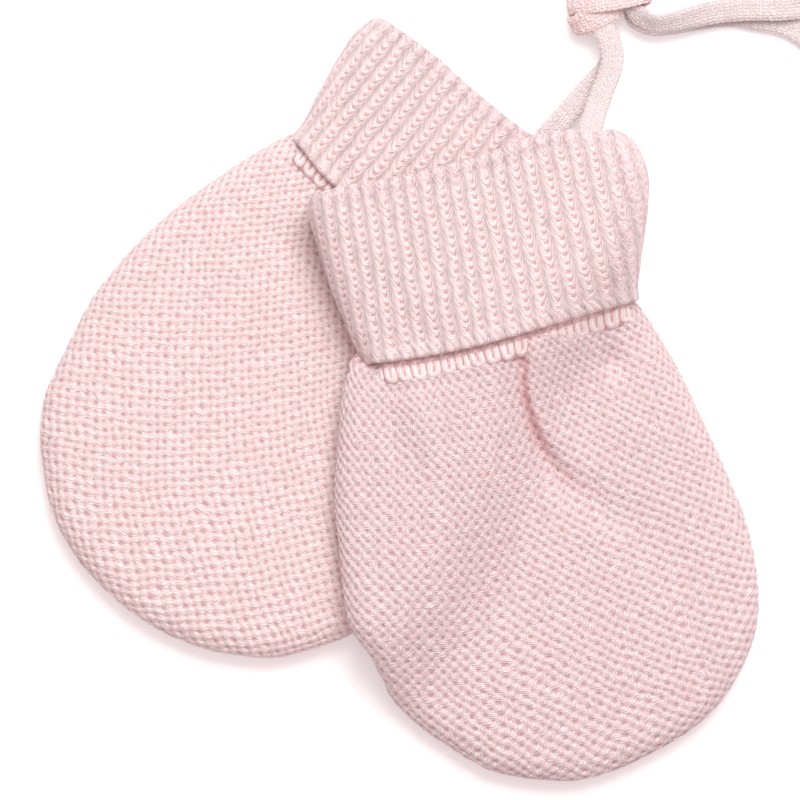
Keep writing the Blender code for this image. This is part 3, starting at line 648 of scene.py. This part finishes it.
# across, along, half width, half length, height
FRONT_WAVES = [
    (-19.1, 41.5, 2.6, 7.5, 0.85), (-24.3, 42.3, 2.2, 6.5, -0.45), (-7.0, 49.0, 2.6, 7.5, -0.45),
    (-13.5, 44.0, 2.6, 8.0, 0.25), (-17.6, 34.9, 5.0, 0.9, -0.35), (10.2, 34.5, 3.0, 3.0, 0.50),
    (14.6, 38.3, 2.2, 2.8, -1.25), (16.4, 50.0, 4.5, 6.5, 0.30), (-17.7, 66.8, 5.0, 9.0, -0.45),
]
BACK_WAVES = [
    (-18.0, 40.0, 9.0, 3.0, -0.40), (-30.0, 50.0, 2.6, 11.0, -0.50), (-10.8, 38.6, 4.5, 4.0, -1.00),
    (-11.0, 49.6, 5.0, 5.0, 0.30),
]
PILLOW = 0.9            # how much the cloth falls away towards its outline
PILLOW_REACH = 17.0


def pleat(across, along):
    """Height of the front hand's pleat, and how deep in its crease a place lies, for the crease's
    painted shade.
    """
    line = smooth_line(PLEAT, 40)
    run = unit(np.gradient(line[:, :2], axis=0))
    total, crease = np.zeros(across.shape), np.zeros(across.shape)
    close = (np.abs(across - 6.0) < 24.0) & (along < 85.0)
    a, b = across[close], along[close]
    best = np.empty(a.shape, int)
    distance = np.empty(a.shape)
    for start in range(0, len(a), 4000):
        part = slice(start, start + 4000)
        gap = (a[part, None] - line[:, 0]) ** 2 + (b[part, None] - line[:, 1]) ** 2
        best[part] = np.argmin(gap, axis=-1)
        distance[part] = np.sqrt(np.min(gap, axis=-1))
    near, tangent = line[best], run[best]
    side = (a - near[:, 0]) * tangent[:, 1] - (b - near[:, 1]) * tangent[:, 0]
    side = np.where(side >= 0, 1.0, -1.0) * distance
    rise, sink, sharp = near[:, 2] * PLEAT_RISE, near[:, 3] * PLEAT_SINK, near[:, 4]
    step = 0.5 * (1.0 + np.tanh(side / sharp))
    total[close] = (rise * step * np.exp(-(distance / PLEAT_BULGE) ** 2)
                    - sink * (1.0 - step) * np.exp(-(distance / PLEAT_DIP) ** 2)
                    - 0.9 * sink * np.exp(-(distance / (1.5 * sharp)) ** 2))
    shown = np.clip((near[:, 3] - CREASE_DEPTH[0]) / CREASE_DEPTH[1], 0.0, 1.0)
    crease[close] = shown * np.exp(-(distance / CREASE_HALF) ** 2)
    return total, crease


def relief(mitten, across, along):
    """The cloth's soft waves and pleat, and how deep in the pleat's crease a place lies, for its
    painted shade.
    """
    front = mitten["name"] == "front"
    total = np.zeros_like(across)
    for at, to, half_width, half_length, height in (FRONT_WAVES if front else BACK_WAVES):
        total += height * np.exp(-((across - at) / half_width) ** 2
                                 - ((along - to) / half_length) ** 2)
    if not front:
        return total, np.zeros_like(across)
    height, crease = pleat(across, along)
    return total + height, crease


def hand_middle(along):
    """Half the thickness of a hand, and the height of its middle, as it settles from the cuff."""
    share = soft_step(along, SETTLE_START, SETTLE_START + SETTLE_LENGTH)
    half = RIB_OUT + (HAND_HALF - RIB_OUT) * share
    middle = FLAP_OUT + (HAND_HALF - FLAP_OUT) * share
    return half, middle


def row_drop(mitten, row, across):
    """How far a knitted row that is `row` along at its lowest has risen, further across."""
    top = max(at for _, at in mitten["seam"])
    sag, middle = mitten["rows"]
    share = soft_step(row, top, top + 14.0)
    from_seam = top - look_up(mitten["seam"], across)
    return from_seam * (1.0 - share) + sag * (across - middle) ** 2 * share


def hand_net(mitten, rows_per_ridge, columns):
    """Flat net of the hand's knitting: shares, places on the unrolled face, rim and stitches."""
    line = smooth_line([(-r[1], r[0]) for r in mitten["hand"]] + [mitten["tip"]]
                       + [(r[2], r[0]) for r in reversed(mitten["hand"])], 20)
    line = resample(line, 900)
    run = np.gradient(line, axis=0)
    normal = unit(np.stack([run[:, 1], -run[:, 0]], axis=1))
    reach = reached(line)
    for ends, square in ((reach, 1.0), (reach[-1] - reach, -1.0)):
        weight = np.clip(1.0 - ends / 6.0, 0.0, 1.0)[:, None]
        normal = normal * (1.0 - weight) + np.array([square, 0.0]) * weight
    normal = unit(normal)
    half, _ = hand_middle(line[:, 1])
    wide = line - normal * ((math.pi / 2 - 1.0) * half)[:, None]
    start = wide[:, 1].copy()
    for _ in range(6):
        start = wide[:, 1] + row_drop(mitten, start, wide[:, 0])
    top = int(np.argmax(start))
    first = max(at for _, at in mitten["seam"]) + SEAM_GAP / 2 - TUCK
    last = start[top] - 0.02
    rows = int(round((last - first) / ROW_PITCH * rows_per_ridge))
    share_across, share_along = np.meshgrid(np.linspace(0.0, 1.0, columns + 1),
                                            np.linspace(0.0, 1.0, rows + 1), indexing="ij")
    share_across, share_along = share_across.ravel(), share_along.ravel()
    row = first + (last - first) * share_along
    left = np.interp(row, start[:top + 1], wide[:top + 1, 0])
    right = np.interp(-row, -start[top:], wide[top:, 0])
    across = left + (right - left) * share_across
    along = row - row_drop(mitten, row, across)
    tuck = np.clip((first + TUCK - row) / TUCK, 0.0, 1.0) ** 2
    stitch = across - mitten["rows"][1]
    stitch = stitch / (STITCH_PITCH * np.exp(STITCH_SPREAD * (row - SPREAD_MIDDLE)))
    ridge = row / ROW_PITCH
    drift = 0.17 * uneven(stitch, ridge, 1, 1.15) + 0.35 * uneven(stitch, ridge, 2, 6.0)
    lean = 0.11 * uneven(stitch, ridge, 3, 1.10) + 0.22 * uneven(stitch, ridge, 4, 8.0)
    across = across * (1.0 - 0.10 * tuck)
    return (columns, rows), line, normal, across, along, stitch + drift, ridge + lean, tuck


def bead_height(stitch, ridge):
    """The hand's knitting: short beads of yarn in two sets, one half a stitch off the other."""
    ridge = np.cos(2 * math.pi * ridge)
    bead = 0.5 + 0.5 * np.cos(2 * math.pi * stitch) * ridge + BEAD_ROWS * (ridge - 0.5)
    return np.maximum(bead, 0.0) ** BEAD_FULLNESS * (0.88 + 0.12 * uneven(stitch, ridge, 5, 0.7))


def hand_face(mitten, ground, upper, material):
    """One face of a hand, knitted from the linking seam to the tip."""
    size, line, normal, across, along, stitch, ridge, tuck = hand_net(
        mitten, *(UPPER_NET if upper else UNDER_NET))
    count = len(across)
    nearest = np.empty(count, int)
    place = np.stack([across, along], axis=1).astype(np.float32)
    for begin in range(0, count, 3000):
        part = slice(begin, begin + 3000)
        gap = ((place[part, None, :] - line[None, :, :].astype(np.float32)) ** 2).sum(axis=2)
        nearest[part] = np.argmin(gap, axis=1)
    before, after = np.maximum(nearest - 1, 0), np.minimum(nearest + 1, len(line) - 1)
    chord = line[after] - line[before]
    share = ((place - line[nearest]) * chord).sum(axis=1) / (chord ** 2).sum(axis=1)
    share = np.clip(share, -0.5, 0.5)[:, None]
    foot = line[nearest] + chord * share
    inward = unit(normal[nearest] + (normal[after] - normal[before]) * share)
    depth = ((place - foot) * inward).sum(axis=1)
    foot = place - inward * depth[:, None]
    half, _ = hand_middle(along)
    reach = depth + (math.pi / 2 - 1.0) * half
    angle = np.clip(reach / half, 0.0, math.pi / 2)
    round_over = reach < half * math.pi / 2
    edge = foot + inward * (half * (1.0 - np.cos(angle)))[:, None]
    across = np.where(round_over, edge[:, 0], across)
    along = np.where(round_over, edge[:, 1], along)
    half, middle = hand_middle(along)
    lift = np.sin(angle)
    x, y = to_world(mitten, across, along)
    turn = math.radians(mitten["turn"])
    out = -inward * np.cos(angle)[:, None]
    out_x = out[:, 0] * math.sin(turn) + out[:, 1] * math.cos(turn)
    out_y = out[:, 0] * math.cos(turn) - out[:, 1] * math.sin(turn)
    bead = bead_height(stitch, ridge) * BEAD_HEIGHT - BEAD_SINK
    half = half * (1.0 - 0.45 * tuck)
    x, y = x + out_x * bead, y + out_y * bead
    if upper:
        fade = np.clip((lift - 0.2) / 0.8, 0.0, 1.0) ** 2
        waves, crease = relief(mitten, across, along)
        z = ground.at(x, y) + middle + half * lift + waves * fade
        z = z + lift * (bead - PILLOW * np.clip(1.0 - depth / PILLOW_REACH, 0.0, 1.0) ** 2)
    else:
        crease = np.zeros_like(across)
        z = ground.at(x, y) + middle - half * lift - lift * (bead - BEAD_HEIGHT + BEAD_SINK)
    shape = (size[0] + 1, size[1] + 1)
    points = np.stack([x, y, z], axis=-1).reshape(*shape, 3)
    # The crease and tuck marks tell the hand material where to paint shade: in the pleat's crease,
    # and at the seam under the cuff.
    marks = np.stack([stitch, ridge, crease, tuck], axis=-1).reshape(*shape, 4)
    name = mitten["name"] + ("_hand_upper_knit" if upper else "_hand_under_knit")
    piece = net(name, points, marks, material, 1.0 if upper else -1.0)
    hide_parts(mitten["name"] + ("_hand_top" if upper else "_hand_under"))
    return piece


# The knitting of the hands: beads of pale pink cotton, plied in fine slanting strands, with a
# deeper pink painted as shade in the gaps, in the pleat's crease and at the seam's tuck, and the
# front hand painted darker overall than the back as shade.
# Each hand's whole colour is multiplied by this, as painted shade: the front hand's copy is darker
# than the back's.
HAND_SHADE = {"back": (0.945, 0.965, 0.965, 1.0), "front": (0.875, 0.885, 0.900, 1.0)}
# Deeper pink painted as shade in the pleat's crease and at the seam's tuck.
CREASE_SHADE = (0.92, 0.70, 0.70, 1.0)
KNIT_BUMP = 0.10        # how deep the plies are pressed into hands and ribs, in millimetres


def hand_knit(name, shade_tone):
    """Slanting plies, bent and turned a little differently in each bead."""
    nodes = Nodes(name)
    stitch, ridge = nodes.stitches()
    waves = [nodes.math("COSINE", nodes.times(place, 2 * math.pi))
             for place in (stitch, ridge)]
    height = nodes.plus(nodes.times(nodes.times(*waves), 0.5), 0.5)
    rows = nodes.times(nodes.minus(waves[1], 0.5), BEAD_ROWS)
    height = nodes.math("MAXIMUM", nodes.plus(height, rows), 0.0)
    height = nodes.math("POWER", height, BEAD_FULLNESS)
    slant = nodes.plus(nodes.times(stitch, 2.4), nodes.times(ridge, 2.9))
    along = nodes.minus(nodes.times(stitch, 2.2), nodes.times(ridge, 2.0))
    cell = [nodes.math("ROUND", nodes.math(way, stitch, ridge)) for way in ("ADD", "SUBTRACT")]
    middle = nodes.plus(nodes.times(cell[0], 0.1), nodes.times(cell[1], 2.1))
    across = nodes.minus(along, middle)
    bend = nodes.times(across, across)
    slant = nodes.plus(slant, nodes.times(bend, 0.7))
    turn = nodes.minus(nodes.chance(cell[1], cell[0]), 0.5)
    turn = nodes.times(turn, across)
    slant = nodes.plus(slant, nodes.times(turn, 2.0))
    streak = nodes.plies(slant, along, nodes.chance(*cell))
    nodes.bump(height, streak, 0.8, KNIT_BUMP)
    # Painted shade: deeper pink in the pleat's crease and in the tuck under the cuff, strongest
    # where the stitch is low.
    crease, tuck = nodes.stitches("bands")
    deep = nodes.math("MAXIMUM", crease, nodes.times(tuck, 0.8))
    deep = nodes.times(deep, nodes.minus(1.25, height))
    shade_tone = nodes.colour_mix(deep, shade_tone, CREASE_SHADE)
    return yarn_colour_and_painted_light(nodes, height, streak, -0.35, 0.58, tone_and_shade=(1.0, shade_tone, "MULTIPLY"))


hand_materials = {name: hand_knit(name + "_hand_knit", shade_tone) for name, shade_tone in HAND_SHADE.items()}

# The cuffs: one tube of ribbing each, linked to the hand at the wrist, up inside, over the fold
# and down outside. Each rib is a chain of U-shaped loops, and the lower edge is cast off thickly.
RIB_PITCH = (2.38, 2.86)     # from rib to rib at the cuff's left and right
RIB_ROW = 1.41               # from loop to loop along a rib
RIB_LEAN = 0.09              # how much straighter the ribs run than the cuff's left edge
RIB_RELIEF = 0.19
RIB_SINK = 0.15
RIB_SHIFT = 0.04             # how far the loops lie off the column's middle
RIB_ARCH = 0.80              # how far a loop's arms run up from its bottom
RIB_YARN = 0.34              # half the height of the yarn in a loop, in rows
RIB_ARM = (0.08, 0.24)       # from the loop's bottom to its arm, across a column
RIB_FULL = (0.78, 0.14)      # how full the arms are, and how much of that comes and goes
CUFF_TOP, CUFF_END, CUFF_UNDER = 236, 30, 76     # columns of the net, round the flat tube
EDGE_ROUND = 0.6
MARGIN_SHADE = 0.9            # how strongly the cuff's right margin takes the fold's painted shade and grain


def cuff_ring():
    """Round the flat cuff from its under side's middle: share across, and the way outwards."""
    rows = [(-place, 0.0, -1.0) for place in np.linspace(0.0, 1.0, CUFF_UNDER // 2 + 1)]
    for angle in np.linspace(math.pi, 0.0, CUFF_END + 1)[1:-1]:
        rows.append((-1.0, -math.sin(angle), math.cos(angle)))
    rows += [(place, 0.0, 1.0) for place in np.linspace(-1.0, 1.0, CUFF_TOP + 1)]
    for angle in np.linspace(0.0, math.pi, CUFF_END + 1)[1:-1]:
        rows.append((1.0, math.sin(angle), math.cos(angle)))
    rows += [(place, 0.0, -1.0) for place in np.linspace(1.0, 0.0, CUFF_UNDER // 2 + 1)]
    return np.array(rows).T


def cuff_sections():
    """Closed section of the turned-back cuff: layer, share along it, reach, extra length."""
    mid, big, small = (RIB_IN + FLAP_OUT) / 2, (FLAP_OUT - RIB_IN) / 2, (FLAP_IN - RIB_OUT) / 2
    rows = [("flap", t, FLAP_OUT, 0.0) for t in np.linspace(1.0, 0.0, 148)]
    rows += [("fold", a, mid + big * math.cos(a), -big * math.sin(a))
             for a in np.linspace(0.0, math.pi, 22)[1:-1]]
    rows += [("body", t, RIB_IN, 0.0) for t in np.linspace(0.0, 1.0, 8)]
    rows += [("body", t, RIB_OUT, 0.0) for t in np.linspace(1.0, 0.86, 22)]
    rows += [("body", t, RIB_OUT, 0.0) for t in np.linspace(0.86, 0.0, 7)[1:]]
    rows += [("flap", 0.0, mid, -small)]
    rows += [("flap", t, FLAP_IN, 0.0) for t in np.linspace(0.0, 1.0, 8)]
    rows += [("flap", 1.0, (FLAP_IN + FLAP_OUT) / 2 - 0.8 * math.cos(a), EDGE_ROUND * math.sin(a))
             for a in np.linspace(0.0, math.pi, 9)[1:-1]]
    return rows + rows[:1]


def rib_count(spread):
    """Ribs counted from the cuff's middle, wider towards its right."""
    at = np.arange(-150.0, 150.0, 0.1)
    low, high = RIB_PITCH
    pitch = np.clip((low + high) / 2 + (high - low) / 54.0 * at, low, high)
    count = np.cumsum(0.1 / pitch)
    return np.interp(spread, at, count - np.interp(0.0, at, count))


def rib_height(rib, row):
    """U-shaped loops in a chain: two raised arms, and the loops' bottoms between them."""
    a = apart(rib) - RIB_SHIFT
    b = apart(row + RIB_ARCH * (a / RIB_YARN) ** 2)
    yarn = arch(b / RIB_YARN)
    arm = soft_step(np.abs(a), *RIB_ARM)
    full = np.maximum(yarn, RIB_FULL[0] + RIB_FULL[1] * np.cos(2 * math.pi * b))
    column = np.sqrt(np.maximum(1.0 - (2.0 * np.abs(a + RIB_SHIFT)) ** 7, 0.0))
    return column * (0.30 + 0.70 * (yarn + (full - yarn) * arm))


def cuff_face(mitten, ground, sections, lifted):
    """Points and stitch places of a net round the cuff, for a list of its sections."""
    share, out_across, out_up = cuff_ring()
    big = (FLAP_OUT - RIB_IN) / 2
    wide = [look_up(mitten["cuff"], 6.0, side) - FLAP_OUT for side in (1, 2)]
    core = share * np.where(share < 0, wide[0], wide[1])
    fold = look_up(mitten["fold"], core) + big
    points = np.empty((len(share), len(sections), 3))
    marks = np.empty((len(share), len(sections), 4))
    for k, (layer, t, reach, extra) in enumerate(sections):
        across = core
        for _ in range(4):
            if layer == "seam":
                along = look_up(mitten["seam"], across) + extra
            elif layer == "body":
                end = look_up(mitten["seam"], across) - SEAM_GAP / 2
                along = fold + (end - fold) * t + extra
            elif layer == "fold":
                along = fold + extra
            else:
                end = look_up(mitten["edge"], across) - EDGE_ROUND / 2
                along = fold + (end - fold) * t + extra
            left = look_up(mitten["cuff"], along, 1) - FLAP_OUT
            right = look_up(mitten["cuff"], along, 2) - FLAP_OUT
            half = np.where(share < 0, left, right)
            base = share * half
            across = base + reach * out_across
        turned = reach * np.arctan2(np.abs(out_across), out_up)
        below = np.where(out_up < -0.999, half - np.abs(base) + half, np.abs(base))
        spread = np.where(share < 0, -1.0, 1.0) * (below + turned)
        straight = np.clip(0.5 - core / 56.0, 0.0, 1.0) if layer in ("flap", "fold") else 0.0
        rib = rib_count(spread + RIB_LEAN * straight * (along - 14.0))
        if layer == "fold":
            row = (fold - big * t) / RIB_ROW
        elif layer == "body":
            row = (2.0 * fold - math.pi * big - along) / RIB_ROW
        else:
            row = along / RIB_ROW
        rib = rib + 0.07 * uneven(rib, row, 11, 1.6)
        row = row + 0.15 * uneven(rib, row, 12, 1.2) + 0.25 * uneven(rib, row, 13, 5.0)
        out = reach + lifted(layer, t, reach, rib, row)
        across = base + out * out_across
        x, y = to_world(mitten, across, along)
        points[:, k, 0], points[:, k, 1] = x, y
        points[:, k, 2] = ground.at(x, y) + FLAP_OUT + out * out_up
        marks[:, k, 0], marks[:, k, 1] = rib, row
        # Each flap's right margin is marked like the fold, so it takes the fold's painted shade
        # too.
        margin = MARGIN_SHADE * soft_step(share, 0.86, 0.98) if layer == "flap" else 0.0
        marks[:, k, 2] = np.maximum(fold_share(layer, t), margin)
        marks[:, k, 3] = cast_off_share(layer, t)
    return points, marks


def fold_share(layer, t):
    """1 where the cuff turns back and shows the ribs from the side, fading down its flap; the rib
    material also paints shade there.
    """
    return {"flap": 1.0 - float(soft_step(t, 0.0, 0.11)), "fold": 1.0}.get(layer, 0.0)


def cast_off_share(layer, t):
    """1 along the flap's cast-off edge, and -1 on the layers inside, which the rib material paints
    deeper pink as shade.
    """
    return float(soft_step(t, 0.925, 0.965)) if layer == "flap" else -1.0


def cuff_lift(layer, t, reach, rib, row):
    """How far the ribbing stands out of the cloth's measured face."""
    if layer == "body" and reach == RIB_OUT and t > 0.85:
        return rib_height(rib, row) * 0.35 - 0.25
    if layer == "fold" or (layer == "flap" and reach > (FLAP_IN + FLAP_OUT) / 2):
        grain = 0.62 + 0.38 * uneven(rib * 3.4, row * 1.7, 14, 1.0)
        lift = rib_height(rib, row)
        lift = lift + (grain - lift) * 0.75 * fold_share(layer, t)
        chain = 0.5 + 1.3 * np.abs(np.sin(math.pi * (2.0 * rib - 12.0 * t)))
        lift = lift + (chain - lift) * max(cast_off_share(layer, t), 0.0)
        return lift * RIB_RELIEF - RIB_SINK
    return np.zeros_like(rib)


def cuff_knit(mitten, ground, material):
    """A whole cuff: one closed net along the section, round the tube."""
    points, marks = cuff_face(mitten, ground, cuff_sections(), cuff_lift)
    points[:, -1] = points[:, 0]
    piece = net(mitten["name"] + "_cuff_knit", points, marks, material)
    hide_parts(mitten["name"] + "_cuff")
    return piece


# Ribs in the colours of the hands, with purple-grey painted as shade where they turn back and down
# each cuff's right margin, and deeper pink painted as shade on the inner layers that show under the
# flap.
RIB_TONE = (1.0, 0.90, 0.90, 1.0)
FOLD_SHADE = (0.80, 0.66, 0.70, 1.0)
INSIDE_SHADE = (0.95, 0.55, 0.57, 1.0)


def rib_knit(name):
    """The loops of rib_height again, for the ribs' colour and their fine strands."""
    nodes = Nodes(name)
    rib, row = nodes.stitches()
    a = nodes.minus(nodes.apart(rib), RIB_SHIFT)
    b = nodes.apart(nodes.plus(row, nodes.times(nodes.times(a, a), RIB_ARCH / RIB_YARN ** 2)))
    yarn = nodes.arch(nodes.math("DIVIDE", b, RIB_YARN))
    arm = nodes.smooth(nodes.math("ABSOLUTE", a), *RIB_ARM)
    full = nodes.math("COSINE", nodes.times(b, 2 * math.pi))
    full = nodes.plus(nodes.times(full, RIB_FULL[1]), RIB_FULL[0])
    full = nodes.math("MAXIMUM", yarn, full)
    yarn = nodes.plus(yarn, nodes.times(nodes.minus(full, yarn), arm))
    column = nodes.times(nodes.math("ABSOLUTE", nodes.plus(a, RIB_SHIFT)), 2.0)
    column = nodes.minus(1.0, nodes.math("POWER", column, 3.2))
    column = nodes.math("SQRT", nodes.math("MAXIMUM", column, 0.0))
    column = nodes.math("MAXIMUM", column, 0.65)
    height = nodes.plus(nodes.times(yarn, 0.85), 0.15)
    height = nodes.times(column, height)
    folded, cast_off = nodes.stitches("bands")
    grain = nodes.noise(nodes.joined(nodes.times(rib, 3.4), row), 1.6, 1.0, 0.5)
    grain = nodes.plus(nodes.smooth(grain, 0.35, 0.65), 0.1)
    height = nodes.blend(nodes.times(folded, 0.8), height, grain)
    height = nodes.blend(nodes.math("MAXIMUM", cast_off, 0.0), height, 0.6)
    lane = nodes.plus(nodes.times(b, 3.2), nodes.times(a, 3.6))
    along = nodes.minus(nodes.times(rib, 2.6), nodes.times(row, 1.0))
    streak = nodes.plies(lane, along)
    nodes.bump(height, streak, 0.9, KNIT_BUMP)
    # The inner layers, seen only in the strip under the flap, are painted deeper pink as shade.
    inside = nodes.math("MAXIMUM", nodes.times(cast_off, -1.0), 0.0)
    inside = nodes.times(inside, nodes.minus(1.0, folded))
    # Purple-grey painted as shade over the fold and the right margin.
    tone_and_shade = nodes.colour_mix(folded, RIB_TONE, FOLD_SHADE)
    tone_and_shade = nodes.colour_mix(inside, tone_and_shade, INSIDE_SHADE)
    share = nodes.plus(nodes.times(inside, 0.24), 0.16)
    share = nodes.plus(nodes.times(folded, 0.20), share)
    return yarn_colour_and_painted_light(nodes, height, streak, -0.02, 0.62, tone_and_shade=(share, tone_and_shade, "MIX"))


LINK_HALF = 0.43        # half a link loop's width, as a share of a rib
LINK_RING = 0.58        # the middle of its yarn, from the loop's middle to its outside


def link_row(mitten, ground, material):
    """The row of small loops that links the hand to the cuff, just below the turned-back edge."""
    angles = np.linspace(0.0, 2 * math.pi, 37)
    sections = [("seam", a, RIB_OUT - 0.40 + 0.55 * math.sin(a),
                 0.70 + (1.15 if math.cos(a) > 0 else 2.0) * math.cos(a)) for a in angles]

    def lifted(layer, a, reach, rib, row):
        r = np.hypot(apart(rib) / LINK_HALF, max(math.cos(a), 0.0))
        loop = arch((r - LINK_RING) / 0.48)
        return (loop * 0.27 - 0.04) * max(math.sin(a), 0.0) ** 0.5

    points, marks = cuff_face(mitten, ground, sections, lifted)
    points[:, -1] = points[:, 0]
    marks[:, :, 1] = np.maximum(np.cos(angles), -0.4)
    piece = net(mitten["name"] + "_link_row", points, marks, material)
    return piece


def link_knit(name):
    """The link loops' arches, and strands along them."""
    nodes = Nodes(name)
    rib, place = nodes.stitches()
    a = nodes.math("DIVIDE", nodes.apart(rib), LINK_HALF)
    down = nodes.math("MAXIMUM", place, 0.0)
    r = nodes.plus(nodes.times(a, a), nodes.times(down, down))
    height = nodes.arch(nodes.math("DIVIDE", nodes.minus(nodes.math("SQRT", r), LINK_RING), 0.50))
    lane = nodes.plus(nodes.times(rib, 5.0), nodes.times(place, 2.2))
    streak = nodes.plies(lane, nodes.times(place, 2.0))
    nodes.bump(height, streak, 0.6, 0.12)
    return yarn_colour_and_painted_light(nodes, height, streak, -0.2, 0.60, 0.8)


# The back mitten lies on the table, and the front one over it, so the back one is made first.
rib_material = rib_knit("rib_knit")
link_material = link_knit("link_knit")
ground = Ground()
for mitten in (BACK, FRONT):
    yarn = hand_materials[mitten["name"]]
    upper = hand_face(mitten, ground, True, yarn)
    hand_face(mitten, ground, False, yarn)
    cuff = cuff_knit(mitten, ground, rib_material)
    link_row(mitten, ground, link_material)
    if mitten is BACK:
        below = []
        for piece in (upper, cuff):
            flat = np.empty(len(piece.data.vertices) * 3)
            piece.data.vertices.foreach_get("co", flat)
            below.append(flat.reshape(-1, 3) / MM)
        ground = Ground(np.vstack(below))

size = {"cad": [list(c) for c in cad_box], "visual": [list(c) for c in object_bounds()]}
